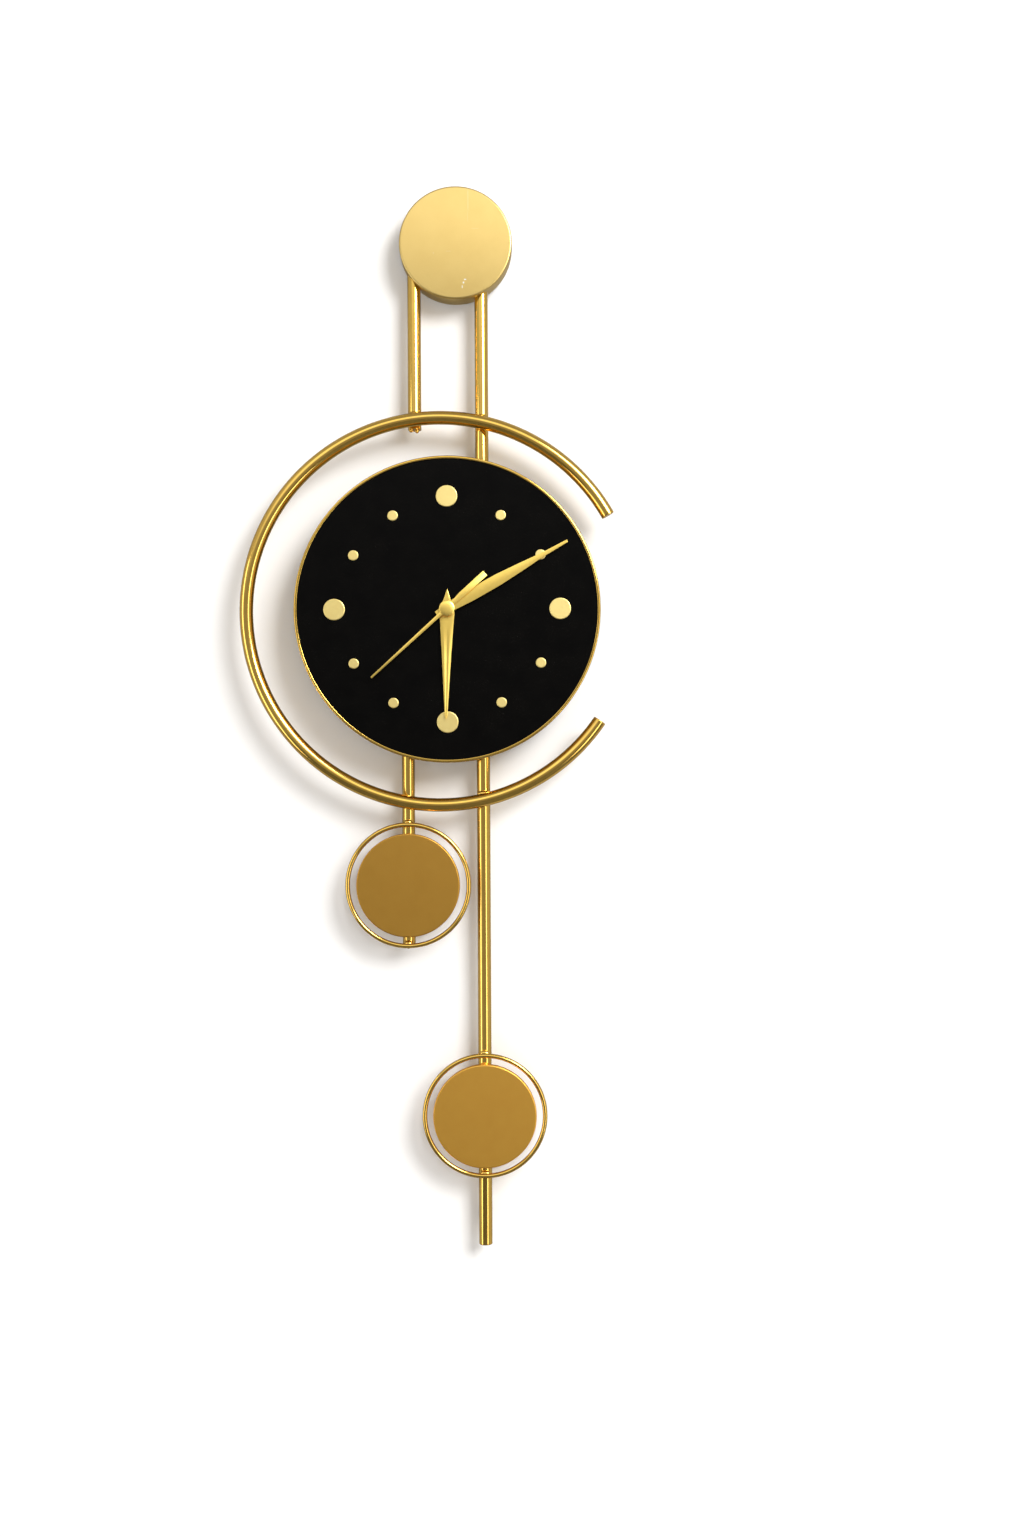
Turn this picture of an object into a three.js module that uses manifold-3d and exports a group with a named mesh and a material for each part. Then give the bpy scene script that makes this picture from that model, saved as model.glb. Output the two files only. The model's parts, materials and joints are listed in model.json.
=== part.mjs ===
// A pendulum wall clock: a black dial carried by a long brass tube, inside a large C-shaped ring.
//
// Everything is laid out face on, in millimetres: x to the right, y up, and z out from the wall.
// The last lines turn the whole clock so that y becomes +Z and the dial faces -Y.
import * as THREE from "three";
import { mergeVertices } from "three/addons/utils/BufferGeometryUtils.js";
import Module from "manifold-3d";

const wasm = await Module();
wasm.setup();

// ---------------------------------------------------------------- driving dimensions

const OVERALL_HEIGHT = 914.4; // 36 inches, top of the cap to the bottom of the long tube
const FIT = 0.3; // gap between pieces that seat on each other
const EMBED = 0.2; // how far a joined shape reaches into its neighbour
const PAST = 1; // how far a cutting shape runs past the piece that it cuts

// Tubes
const TUBE_RADIUS = 5.75;
const TUBE_WALL = 1.2;
const TUBE_EDGE = 0.7;
const TUBE_TO_WALL = 9.25; // wall to the backs of the two fixed tubes
const LONG_TUBE_X = 21.7;
const SHORT_TUBE_X = -36.4;
const TUBE_TOP_Y = 12; // the fixed tubes end inside the cap
const SHORT_TUBE_BELOW_RING = 1.2;

// Top cap, centred on the origin
const CAP_RADIUS = 48.7;
const CAP_FACE_AHEAD = 4.75; // cap face in front of the tubes
const SHEET = 1.5;
const CAP_EDGE = 1.4; // rounding of the cap's front edge

// Wall hanger and bumper
const HANGER_WIDTH = 44;
const HANGER_X = -12; // under the balance point, so that the clock hangs plumb
const HANGER_WEB_LOW = -14;
const HANGER_WEB_HIGH = 24;
const HANGER_FOOT = 7;
const KEYHOLE_Y = 6;
const KEYHOLE_RADIUS = 4.8;
const KEYHOLE_SLOT = 4.6;
const KEYHOLE_RISE = 9;
const BUMPER_RADIUS = 4.6;
const BUMPER_EDGE = 0.8;
const BUMPER_ABOVE_END = 26;

// Large ring
const RING_X = -15;
const RING_Y = -317.9;
const RING_TUBE_RADIUS = 5.8;
const RING_GAP = 29.8; // open space round the dial
const RING_UPPER_END = 30.1; // degrees above the horizontal
const RING_LOWER_END = 35.3; // degrees below it
const PLUG_LIP = 1.4;
const PLUG_SPIGOT = 5;
const PLUG_EDGE = 0.5;

// Dial
const DIAL_X = -8.1;
const DIAL_Y = -317.2;
const DIAL_RADIUS = 131;
const BEZEL_WIDTH = 2.6;
const BEZEL_SHEET = 1.2;
const BEZEL_EDGE = 0.7;
const BEZEL_BACK_AHEAD = 2; // bezel's back edge in front of the tubes
const LIP_SHEET = 1.2;
const DIAL_SHEET = 1.2;
const HOURS = 12;
const MAJOR_DOT_RADIUS = 9.3;
const MINOR_DOT_RADIUS = 4.5;
const MAJOR_DOT_INSET = 34.6; // from the rim of the dial to the middle of the dot
const MINOR_DOT_INSET = 38.8;
const DOT_HEIGHT = 1.1;

// Bracket that carries the dial
const BRACKET_LENGTH = 150;
const BRACKET_HEIGHT = 34;
const BRACKET_SHEET = 2;
const BRACKET_CORNER = 4;
const BRACKET_UP = 62; // above the middle of the dial
const POST_SPREAD = 60; // each side of the middle of the dial
const POST_RADIUS = 4.6;
const SCREW_RADIUS = 1.8;
const SCREW_HEAD_RADIUS = 4;
const SCREW_HEAD_HEIGHT = 2;
const SCREW_REACH = 8;

// Quartz movement
const CASE_WIDTH = 56;
const CASE_ABOVE_AXIS = 23; // top of the case above the axis of the hands
const CASE_CORNER = 3;
const CASE_DEPTH = 16.2;
const CASE_WALL = 1.2;
const CASE_BEHIND_TUBES = 0.55; // case's back in front of the tubes
const DIVIDER_DROP = 15.2; // top of the wall over the battery below the axis of the hands
const BATTERY_RADIUS = 7.1;
const BATTERY_LENGTH = 48.6;
const BATTERY_NUB = 1.4;
const BAY_CLEARANCE = 0.75;
const DIVIDER = 0.9;
const CONTACT = 0.5;
const CONTACT_HEIGHT = 10;
const CONTACT_DEPTH = 9;

// Train: teeth, module and arbors
const TRAIN_DISTANCE = 10.8; // second arbor to third arbor
const MOTION_DISTANCE = 12; // centre to the motion wheel
const ROTOR_MODULE = 0.3;
const INTERMEDIATE_MODULE = 0.36;
const ARBOR_RADIUS = 0.6;
const PIVOT_CLEARANCE = 0.35;
const WHEEL_THICKNESS = 1;
const BOSS_RADIUS = 1.9;
const BOSS_HEIGHT = 0.8;
const BRIDGE_SHEET = 0.6;

// Heights of the layers of the train above the inside of the rear cover
const LAYERS = {
  pivots: 0.35,
  rotorPinion: 1.1,
  secondWheel: 2.9,
  stator: 4.3,
  thirdWheel: 5.1,
  bridge: 6.6,
  centreWheel: 7.9,
  board: 9.9,
  motionWheel: 10.1,
  hourWheel: 12.1,
};

// Stator and coil, seen from the front
const CORE_X = -23;
const CORE_WIDTH = 2.2;
const CORE_HIGH = 12.5;
const CORE_ABOVE_DIVIDER = 2.2;
const ARM_WIDTH = 3;
const COIL_RADIUS = 3;
const COIL_FLANGE = 1;
const ROTOR_MAGNET_RADIUS = 2.7;
const STATOR_BORE = 3.2;
const STATOR_PAD = 4.4;

// Pipes through the dial, worked out from the inside out
const PIPE_WALL = 0.8;
const NUT_WALL = 0.85;
const NUT_HEIGHT = 1.9;

// Set knob on the back of the movement
const KNOB_RADIUS = 5;
const KNOB_HEIGHT = 3.6;
const KNOB_EDGE = 0.6;
const KNOB_SHAFT_RADIUS = 0.9;

// Hands: length, tail, and the angle shown, clockwise from twelve
const HAND_SHEET = 0.8;
const HAND_SPACING = 2.2;
const SECOND_CAP_RADIUS = 6.6;
const SECOND_CAP_HEIGHT = 1.4;
const HOUR_HAND = { length: 93.7, tail: 16.6, angle: 180.8 };
const MINUTE_HAND = { length: 117.4, tail: 10.2, angle: 61 };
const SECOND_HAND = { length: 87.2, tail: 44.2, angle: 227.8 };

// Pendulum
const PENDULUM_X = -43.5;
const PENDULUM_TUBE_RADIUS = 5.5;
const PENDULUM_TUBE_DROP = 14; // upper end of the tube below the pivot
const PENDULUM_BEHIND_RING = 2.15; // tube's front behind the back of the large ring
const SWING = 4; // degrees each way
const BOB_BELOW_RING = 9.5;
const DISC_RADIUS = 44.6;
const DISC_DEPTH = 6;
const DISC_SHEET = 1.2;
const DISC_EDGE = 0.8;
const DISC_BOSS_RADIUS = 6;
const SMALL_RING_GAP = 5.3; // between a disc and its ring
const SMALL_RING_WIRE = 2;
const LUG_RADIUS = 2.4;
const BOB_AHEAD = 1.25; // bob's back in front of the long tube
const EYE_THICKNESS = 3;
const EYE_RADIUS = 6;
const TONGUE_DROP = 30;
const PIN_RADIUS = 1.5;
const PIN_CLEARANCE = 0.35;
const GROOVE_DEPTH = 0.5;
const GROOVE_WIDTH = 0.9;
const GROOVE_BEHIND_EYE = 0.7;
const GROOVE_TO_PIN_END = 1.4;
const CLIP_RADIUS = 3.2;
const CLIP_SHEET = 0.6;
const CLIP_MOUTH = 1.8;
const PEG_RADIUS = 1.2;
const PEG_DROP = 10; // drive peg below the pivot
const LEVER_WIDTH = 5.2;
const LEVER_HEAD_RADIUS = 4.6;
const LEVER_SHEET = 2;
const LEVER_AHEAD = 1.5; // in front of the inside of the drive case's back
const MAGNET_DROP = 30;
const MAGNET_RADIUS = 6;
const MAGNET_COIL_RADIUS = 9;
const MAGNET_COIL_BORE = 3;
const MAGNET_TO_COIL = 1;
const DRIVE_WIDTH = 40;
const DRIVE_HEIGHT = 52;
const DRIVE_ABOVE_PIVOT = 9;
const DRIVE_BELOW_MOVEMENT = 2.8;

// Lower ornament on the long tube
const ORNAMENT_ABOVE_END = 112.7;

// ---------------------------------------------------------------- depths from the wall

const tubeAxisZ = TUBE_TO_WALL + TUBE_RADIUS;
const tubeFrontZ = TUBE_TO_WALL + 2 * TUBE_RADIUS;
const seatZ = tubeFrontZ + FIT; // where pieces seat on the fronts of the tubes
const capFrontZ = tubeFrontZ + CAP_FACE_AHEAD;
const backPlateFrontZ = TUBE_TO_WALL - FIT;
const backPlateBackZ = backPlateFrontZ - SHEET;
const capBackZ = backPlateBackZ; // the cap's wall covers the edge of its back plate
const bracketFrontZ = seatZ + BRACKET_SHEET;
const caseBackZ = tubeFrontZ + CASE_BEHIND_TUBES;
const caseFrontZ = caseBackZ + CASE_DEPTH;
const plateBackZ = caseFrontZ + FIT;
const faceZ = plateBackZ + DIAL_SHEET;
const lipBackZ = faceZ + FIT;
const lipFrontZ = lipBackZ + LIP_SHEET;
const coverFrontZ = caseBackZ + CASE_WALL;
const caseRimZ = coverFrontZ + FIT;
const caseInsideZ = caseFrontZ - CASE_WALL;
const nutFrontZ = faceZ + FIT + NUT_HEIGHT;
const bushFrontZ = nutFrontZ + FIT;
const hourHandZ = bushFrontZ + 2 * FIT;
const minuteHandZ = hourHandZ + HAND_SPACING;
const secondHandZ = minuteHandZ + HAND_SPACING;
const pendulumFrontZ = seatZ - PENDULUM_BEHIND_RING;
const pendulumAxisZ = pendulumFrontZ - PENDULUM_TUBE_RADIUS;
const bobBackZ = tubeFrontZ + BOB_AHEAD;

// ---------------------------------------------------------------- places and sizes that follow

const longTubeBottomY = CAP_RADIUS - OVERALL_HEIGHT;
const ornamentY = longTubeBottomY + ORNAMENT_ABOVE_END;
const ringRadius = DIAL_RADIUS + RING_GAP + RING_TUBE_RADIUS; // to the middle of the ring's tube
const smallRingRadius = DISC_RADIUS + SMALL_RING_GAP + SMALL_RING_WIRE; // to the middle of the wire

// Heights in the movement count from the axis of the hands.
const bayHeight = 2 * (BATTERY_RADIUS + BAY_CLEARANCE);
const caseBottomY = -(DIVIDER_DROP + DIVIDER + bayHeight + CASE_WALL);
const caseHeight = CASE_ABOVE_AXIS - caseBottomY;
const caseY = (CASE_ABOVE_AXIS + caseBottomY) / 2;

const pivotY = DIAL_Y + caseBottomY - DRIVE_BELOW_MOVEMENT - DRIVE_ABOVE_PIVOT;
const bobY = RING_Y - ringRadius - RING_TUBE_RADIUS - BOB_BELOW_RING - SMALL_RING_WIRE - smallRingRadius;
const bobDrop = pivotY - bobY;

const minutePipeBore = ARBOR_RADIUS + PIVOT_CLEARANCE;
const minutePipeRadius = minutePipeBore + PIPE_WALL;
const hourPipeBore = minutePipeRadius + PIVOT_CLEARANCE;
const hourPipeRadius = hourPipeBore + PIPE_WALL;
const bushBore = hourPipeRadius + PIVOT_CLEARANCE;
const bushRadius = bushBore + PIPE_WALL;
const nutRadius = bushRadius + FIT + NUT_WALL;

// ---------------------------------------------------------------- solids and shapes

const FINE = 48; // sides of the large round pieces
const MEDIUM = 36;
const ROUND = 16;
const SMALL = 12;
const TINY = 8;
const RING_STEPS = 44; // along the large ring

// Turns a closed geometry that is inside out, so that its faces point outwards.
function outward(geometry) {
  const flat = geometry.index ? geometry.toNonIndexed() : geometry;
  const p = flat.getAttribute("position");
  const [a, b, c] = [new THREE.Vector3(), new THREE.Vector3(), new THREE.Vector3()];
  let volume = 0;
  for (let i = 0; i < p.count; i += 3) {
    a.fromBufferAttribute(p, i);
    b.fromBufferAttribute(p, i + 1);
    c.fromBufferAttribute(p, i + 2);
    volume += a.dot(b.cross(c));
  }
  const bare = new THREE.BufferGeometry();
  const points = Array.from(p.array);
  if (volume < 0) {
    for (let i = 0; i < points.length; i += 9) {
      for (let k = 0; k < 3; k++) {
        [points[i + 3 + k], points[i + 6 + k]] = [points[i + 6 + k], points[i + 3 + k]];
      }
    }
  }
  bare.setAttribute("position", new THREE.Float32BufferAttribute(points, 3));
  return bare;
}

function toSolid(geometry) {
  const merged = mergeVertices(outward(geometry), 1e-4);
  const vertProperties = new Float32Array(merged.attributes.position.array);
  const triVerts = new Uint32Array(merged.index.array);
  return new wasm.Manifold(new wasm.Mesh({ numProp: 3, vertProperties, triVerts }));
}

function toGeometry(solid) {
  const { vertProperties, triVerts } = solid.getMesh();
  const geometry = new THREE.BufferGeometry();
  geometry.setAttribute("position", new THREE.Float32BufferAttribute(vertProperties, 3));
  geometry.setIndex(new THREE.BufferAttribute(new Uint32Array(triVerts), 1));
  return geometry.toNonIndexed();
}

function joined(...geometries) {
  return toGeometry(geometries.map(toSolid).reduce((whole, next) => whole.add(next)));
}

function cut(geometry, ...tools) {
  return toGeometry(tools.map(toSolid).reduce((left, tool) => left.subtract(tool), toSolid(geometry)));
}

// A solid of revolution about the y axis, from [radius, height] points.
function turnedUpright(profile, sides = ROUND) {
  const points = profile.map(([radius, height]) => new THREE.Vector2(radius, height));
  return outward(new THREE.LatheGeometry(points, sides));
}

// The same about the z axis, out from the wall.
function turned(profile, sides = ROUND) {
  return turnedUpright(profile, sides).rotateX(Math.PI / 2);
}

// A round bar or disc between two depths.
function disc(radius, back, front, sides = SMALL, x = 0, y = 0) {
  return turned([[0, back], [radius, back], [radius, front], [0, front]], sides).translate(x, y, 0);
}

// A round tube between two depths.
function pipe(radius, bore, back, front, sides = SMALL, x = 0, y = 0) {
  const profile = [[bore, back], [radius, back], [radius, front], [bore, front], [bore, back]];
  return turned(profile, sides).translate(x, y, 0);
}

// A box between two corners.
function block([x0, y0, z0], [x1, y1, z1]) {
  const box = new THREE.BoxGeometry(x1 - x0, y1 - y0, z1 - z0);
  return outward(box.translate((x0 + x1) / 2, (y0 + y1) / 2, (z0 + z1) / 2));
}

// A flat piece cut from an outline, between two depths.
function plate(shape, back, front, curveSegments = 3) {
  const options = { depth: front - back, bevelEnabled: false, curveSegments };
  return outward(new THREE.ExtrudeGeometry(shape, options)).translate(0, 0, back);
}

function outlineOf(points) {
  return new THREE.Shape(points.map(([x, y]) => new THREE.Vector2(x, y)));
}

function roundedRectangle(width, height, corner, x = 0, y = 0) {
  const [left, right] = [x - width / 2, x + width / 2];
  const [low, high] = [y - height / 2, y + height / 2];
  const shape = new THREE.Shape();
  shape.absarc(right - corner, high - corner, corner, 0, Math.PI / 2);
  shape.absarc(left + corner, high - corner, corner, Math.PI / 2, Math.PI);
  shape.absarc(left + corner, low + corner, corner, Math.PI, Math.PI * 1.5);
  shape.absarc(right - corner, low + corner, corner, Math.PI * 1.5, Math.PI * 2);
  shape.closePath();
  return shape;
}

function polar(radius, angle) {
  return [radius * Math.cos(angle), radius * Math.sin(angle)];
}

function circle(radius, sides, [x, y] = [0, 0]) {
  return Array.from({ length: sides }, (_, i) => {
    const [u, v] = polar(radius, (i * 2 * Math.PI) / sides);
    return [x + u, y + v];
  });
}

const degrees = THREE.MathUtils.degToRad;

// ---------------------------------------------------------------- finishes

const FINISHES = {
  polished_gold: { color: 0xdfb25a, roughness: 0.16, metalness: 1 },
  pale_gold: { color: 0xefd083, roughness: 0.34, metalness: 0.9 },
  bronze_gold: { color: 0xb78a3e, roughness: 0.42, metalness: 0.9 },
  hand_gold: { color: 0xe6bf5c, roughness: 0.28, metalness: 0.95 },
  black_lacquer: { color: 0x0b0a0a, roughness: 0.22, metalness: 0 },
  zinc_steel: { color: 0xa9adb0, roughness: 0.4, metalness: 0.9 },
  brass: { color: 0xc9a24a, roughness: 0.35, metalness: 0.9 },
  case_plastic: { color: 0x17181a, roughness: 0.6, metalness: 0 },
  gear_plastic: { color: 0xe9e5d8, roughness: 0.5, metalness: 0 },
  coil_copper: { color: 0xb4622d, roughness: 0.4, metalness: 0.8 },
  board_green: { color: 0x1f5b38, roughness: 0.5, metalness: 0 },
  battery_sleeve: { color: 0x2a3a5e, roughness: 0.4, metalness: 0.2 },
  rubber: { color: 0x1b1b1b, roughness: 0.9, metalness: 0 },
};

function part(group, name, geometry, finish) {
  const mesh = new THREE.Mesh(geometry, new THREE.MeshStandardMaterial(FINISHES[finish]));
  mesh.name = name;
  group.add(mesh);
  return mesh;
}

const clock = new THREE.Group();

// ---------------------------------------------------------------- top cap and wall fixing

function capShell() {
  const inside = CAP_RADIUS - SHEET;
  const profile = [
    [0, capFrontZ],
    [CAP_RADIUS - CAP_EDGE, capFrontZ],
    [CAP_RADIUS - CAP_EDGE * (1 - Math.SQRT1_2), capFrontZ - CAP_EDGE * (1 - Math.SQRT1_2)],
    [CAP_RADIUS, capFrontZ - CAP_EDGE],
    [CAP_RADIUS, capBackZ],
    [inside, capBackZ],
    [inside, capFrontZ - SHEET],
    [0, capFrontZ - SHEET],
  ];
  const half = TUBE_RADIUS + FIT;
  const slots = [LONG_TUBE_X, SHORT_TUBE_X].map((x) =>
    block([x - half, -CAP_RADIUS - PAST, capBackZ - PAST], [x + half, -TUBE_RADIUS, tubeFrontZ + FIT]),
  );
  return cut(turned(profile, FINE), ...slots);
}

function wallHanger() {
  const legs = backPlateBackZ - FIT;
  const low = HANGER_WEB_LOW;
  const high = HANGER_WEB_HIGH;
  // The section of the bent strip: y across, z out from the wall.
  const section = outlineOf([
    [low, 0],
    [high, 0],
    [high, legs - SHEET],
    [high + HANGER_FOOT, legs - SHEET],
    [high + HANGER_FOOT, legs],
    [high - SHEET, legs],
    [high - SHEET, SHEET],
    [low + SHEET, SHEET],
    [low + SHEET, legs],
    [low - HANGER_FOOT, legs],
    [low - HANGER_FOOT, legs - SHEET],
    [low, legs - SHEET],
  ]);
  const strip = new THREE.ExtrudeGeometry(section, { depth: HANGER_WIDTH, bevelEnabled: false });
  const sideways = new THREE.Matrix4().makeBasis(
    new THREE.Vector3(0, 1, 0),
    new THREE.Vector3(0, 0, 1),
    new THREE.Vector3(1, 0, 0),
  );
  strip.applyMatrix4(sideways).translate(HANGER_X - HANGER_WIDTH / 2, 0, 0);
  const hole = disc(KEYHOLE_RADIUS, -PAST, SHEET + PAST, ROUND, HANGER_X, KEYHOLE_Y);
  const half = KEYHOLE_SLOT / 2;
  const slot = block(
    [HANGER_X - half, KEYHOLE_Y, -PAST],
    [HANGER_X + half, KEYHOLE_Y + KEYHOLE_RISE, SHEET + PAST],
  );
  return cut(strip, hole, slot);
}

function bumper(y) {
  const front = TUBE_TO_WALL - FIT;
  const profile = [
    [0, 0],
    [BUMPER_RADIUS - BUMPER_EDGE, 0],
    [BUMPER_RADIUS, BUMPER_EDGE],
    [BUMPER_RADIUS, front],
    [0, front],
  ];
  return turned(profile, SMALL).translate(LONG_TUBE_X, y, 0);
}

part(clock, "top_cap", capShell(), "pale_gold");
const backPlate = disc(CAP_RADIUS - SHEET - FIT, backPlateBackZ, backPlateFrontZ, FINE);
part(clock, "cap_back_plate", backPlate, "zinc_steel");
part(clock, "wall_hanger", wallHanger(), "zinc_steel");
part(clock, "wall_bumper", bumper(longTubeBottomY + BUMPER_ABOVE_END), "rubber");

// ---------------------------------------------------------------- tubes

// A tube that stands upright, open at the top and closed at the bottom.
function closedTube(radius, bottom, top) {
  const bore = radius - TUBE_WALL;
  return turnedUpright([
    [0, bottom],
    [radius - TUBE_EDGE, bottom],
    [radius, bottom + TUBE_EDGE],
    [radius, top],
    [bore, top],
    [bore, bottom + TUBE_WALL],
    [0, bottom + TUBE_WALL],
  ]);
}

// Height of the large ring's tube above or below the ring's middle, at a given x.
function ringRise(x) {
  return Math.sqrt(ringRadius ** 2 - (x - RING_X) ** 2);
}

const shortTubeBottomY = RING_Y + ringRise(SHORT_TUBE_X) - RING_TUBE_RADIUS - SHORT_TUBE_BELOW_RING;
for (const [name, x, bottom] of [
  ["long_tube", LONG_TUBE_X, longTubeBottomY],
  ["short_tube", SHORT_TUBE_X, shortTubeBottomY],
]) {
  const tube = part(clock, name, closedTube(TUBE_RADIUS, bottom, TUBE_TOP_Y), "polished_gold");
  tube.position.set(x, 0, tubeAxisZ);
}

// ---------------------------------------------------------------- large ring

class Arc extends THREE.Curve {
  constructor(radius, start, end) {
    super();
    Object.assign(this, { radius, start, end });
  }

  getPoint(t, target = new THREE.Vector3()) {
    const angle = this.start + (this.end - this.start) * t;
    return target.set(...polar(this.radius, angle), 0);
  }
}

function bentTube(radius, wall, path, steps) {
  const section = outlineOf(circle(radius, SMALL));
  section.holes.push(outlineOf(circle(radius - wall, TINY)));
  return outward(new THREE.ExtrudeGeometry(section, { steps, extrudePath: path, bevelEnabled: false }));
}

// A plug for a tube's end. It points along +y, with its lip outside the tube.
function tubePlug() {
  const spigot = RING_TUBE_RADIUS - TUBE_WALL - 2 * FIT;
  return turnedUpright(
    [
      [0, -PLUG_SPIGOT],
      [spigot, -PLUG_SPIGOT],
      [spigot, FIT],
      [RING_TUBE_RADIUS, FIT],
      [RING_TUBE_RADIUS, FIT + PLUG_LIP - PLUG_EDGE],
      [RING_TUBE_RADIUS - PLUG_EDGE, FIT + PLUG_LIP],
      [0, FIT + PLUG_LIP],
    ],
    SMALL,
  );
}

const ring = new THREE.Group();
ring.position.set(RING_X, RING_Y, seatZ + RING_TUBE_RADIUS);
const ringStart = degrees(RING_UPPER_END);
const ringEnd = degrees(360 - RING_LOWER_END);
const ringPath = new Arc(ringRadius, ringStart, ringEnd);
part(ring, "c_ring", bentTube(RING_TUBE_RADIUS, TUBE_WALL, ringPath, RING_STEPS), "polished_gold");
for (const [name, angle, turn] of [
  ["c_ring_plug_upper", ringStart, ringStart + Math.PI],
  ["c_ring_plug_lower", ringEnd, ringEnd],
]) {
  const plug = part(ring, name, tubePlug(), "polished_gold");
  plug.position.set(...polar(ringRadius, angle), 0);
  plug.rotation.z = turn;
}
clock.add(ring);

// ---------------------------------------------------------------- small rings and discs

// A shallow pressed disc with a boss in the middle that reaches back to its tube.
function pressedDisc(back, bossBack) {
  const front = back + DISC_DEPTH;
  const inside = DISC_RADIUS - DISC_SHEET;
  return turned(
    [
      [0, front],
      [DISC_RADIUS - DISC_EDGE, front],
      [DISC_RADIUS, front - DISC_EDGE],
      [DISC_RADIUS, back],
      [inside, back],
      [inside, front - DISC_SHEET],
      [DISC_BOSS_RADIUS, front - DISC_SHEET],
      [DISC_BOSS_RADIUS, bossBack],
      [0, bossBack],
    ],
    MEDIUM,
  );
}

function wireRing(back) {
  const wire = new THREE.TorusGeometry(smallRingRadius, SMALL_RING_WIRE, TINY, MEDIUM);
  return wire.translate(0, 0, back + SMALL_RING_WIRE);
}

const ornament = new THREE.Group();
ornament.position.set(LONG_TUBE_X, ornamentY, 0);
part(ornament, "lower_ring", wireRing(seatZ), "polished_gold");
part(ornament, "lower_disc", pressedDisc(seatZ, seatZ), "bronze_gold");
clock.add(ornament);

// ---------------------------------------------------------------- dial

const dial = new THREE.Group();
dial.position.set(DIAL_X, DIAL_Y, 0);
const postPlaces = [-POST_SPREAD, POST_SPREAD];

function dialPlate() {
  const hole = bushRadius + FIT;
  const rim = DIAL_RADIUS - BEZEL_SHEET - FIT;
  const sheet = turned(
    [
      [hole, plateBackZ],
      [rim, plateBackZ],
      [rim, faceZ],
      [hole, faceZ],
      [hole, plateBackZ],
    ],
    FINE,
  );
  const postBackZ = bracketFrontZ + FIT;
  const posts = postPlaces.map((x) =>
    pipe(POST_RADIUS, SCREW_RADIUS + FIT, postBackZ, plateBackZ + EMBED, SMALL, x, BRACKET_UP),
  );
  return joined(sheet, ...posts);
}

function bezelRing() {
  const back = tubeFrontZ + BEZEL_BACK_AHEAD;
  const lip = DIAL_RADIUS - BEZEL_WIDTH;
  const inside = DIAL_RADIUS - BEZEL_SHEET;
  return turned(
    [
      [lip, lipBackZ],
      [inside, lipBackZ],
      [inside, back],
      [DIAL_RADIUS, back],
      [DIAL_RADIUS, lipFrontZ - BEZEL_EDGE],
      [DIAL_RADIUS - BEZEL_EDGE, lipFrontZ],
      [lip, lipFrontZ],
      [lip, lipBackZ],
    ],
    FINE,
  );
}

function hourMarker(radius) {
  return disc(radius, faceZ + FIT, faceZ + FIT + DOT_HEIGHT, ROUND);
}

part(dial, "dial_plate", dialPlate(), "black_lacquer");
part(dial, "bezel_ring", bezelRing(), "polished_gold");
for (let hour = 1; hour <= HOURS; hour++) {
  const major = hour % 3 === 0;
  const angle = Math.PI / 2 - (hour * 2 * Math.PI) / HOURS;
  const name = "hour_marker_" + String(hour).padStart(2, "0");
  const marker = part(dial, name, hourMarker(major ? MAJOR_DOT_RADIUS : MINOR_DOT_RADIUS), "pale_gold");
  marker.position.set(...polar(DIAL_RADIUS - (major ? MAJOR_DOT_INSET : MINOR_DOT_INSET), angle), 0);
}

function dialBracket() {
  const shape = roundedRectangle(BRACKET_LENGTH, BRACKET_HEIGHT, BRACKET_CORNER, 0, BRACKET_UP);
  const holes = postPlaces.map((x) =>
    disc(SCREW_RADIUS + FIT, seatZ - PAST, bracketFrontZ + PAST, SMALL, x, BRACKET_UP),
  );
  return cut(plate(shape, seatZ, bracketFrontZ), ...holes);
}

function bracketScrew() {
  const under = seatZ - FIT;
  const tip = bracketFrontZ + SCREW_REACH;
  return turned(
    [
      [0, under - SCREW_HEAD_HEIGHT],
      [SCREW_HEAD_RADIUS * 0.7, under - SCREW_HEAD_HEIGHT],
      [SCREW_HEAD_RADIUS, under - SCREW_HEAD_HEIGHT / 2],
      [SCREW_HEAD_RADIUS, under],
      [SCREW_RADIUS, under],
      [SCREW_RADIUS, tip],
      [0, tip],
    ],
    SMALL,
  );
}

part(dial, "dial_bracket", dialBracket(), "zinc_steel");
for (const [name, x] of [
  ["bracket_screw_left", -POST_SPREAD],
  ["bracket_screw_right", POST_SPREAD],
]) {
  part(dial, name, bracketScrew(), "zinc_steel").position.set(x, BRACKET_UP, 0);
}
clock.add(dial);

// ---------------------------------------------------------------- movement: places and layers

const movement = new THREE.Group(); // its origin is the axis of the hands
dial.add(movement);

const TEETH = {
  rotorPinion: 8,
  intermediateWheel: 40,
  intermediatePinion: 8,
  secondWheel: 48,
  secondPinion: 8,
  thirdWheel: 60,
  thirdPinion: 8,
  centreWheel: 64,
  cannonPinion: 10,
  motionWheel: 30,
  motionPinion: 8,
  hourWheel: 32,
};

// The module that makes two wheels mesh at a given distance.
function moduleFor(distance, teethA, teethB) {
  return (2 * distance) / (teethA + teethB);
}

const secondModule = moduleFor(TRAIN_DISTANCE, TEETH.secondPinion, TEETH.thirdWheel);
const centreModule = moduleFor(TRAIN_DISTANCE, TEETH.thirdPinion, TEETH.centreWheel);
const cannonModule = moduleFor(MOTION_DISTANCE, TEETH.cannonPinion, TEETH.motionWheel);
const hourModule = moduleFor(MOTION_DISTANCE, TEETH.motionPinion, TEETH.hourWheel);

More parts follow.
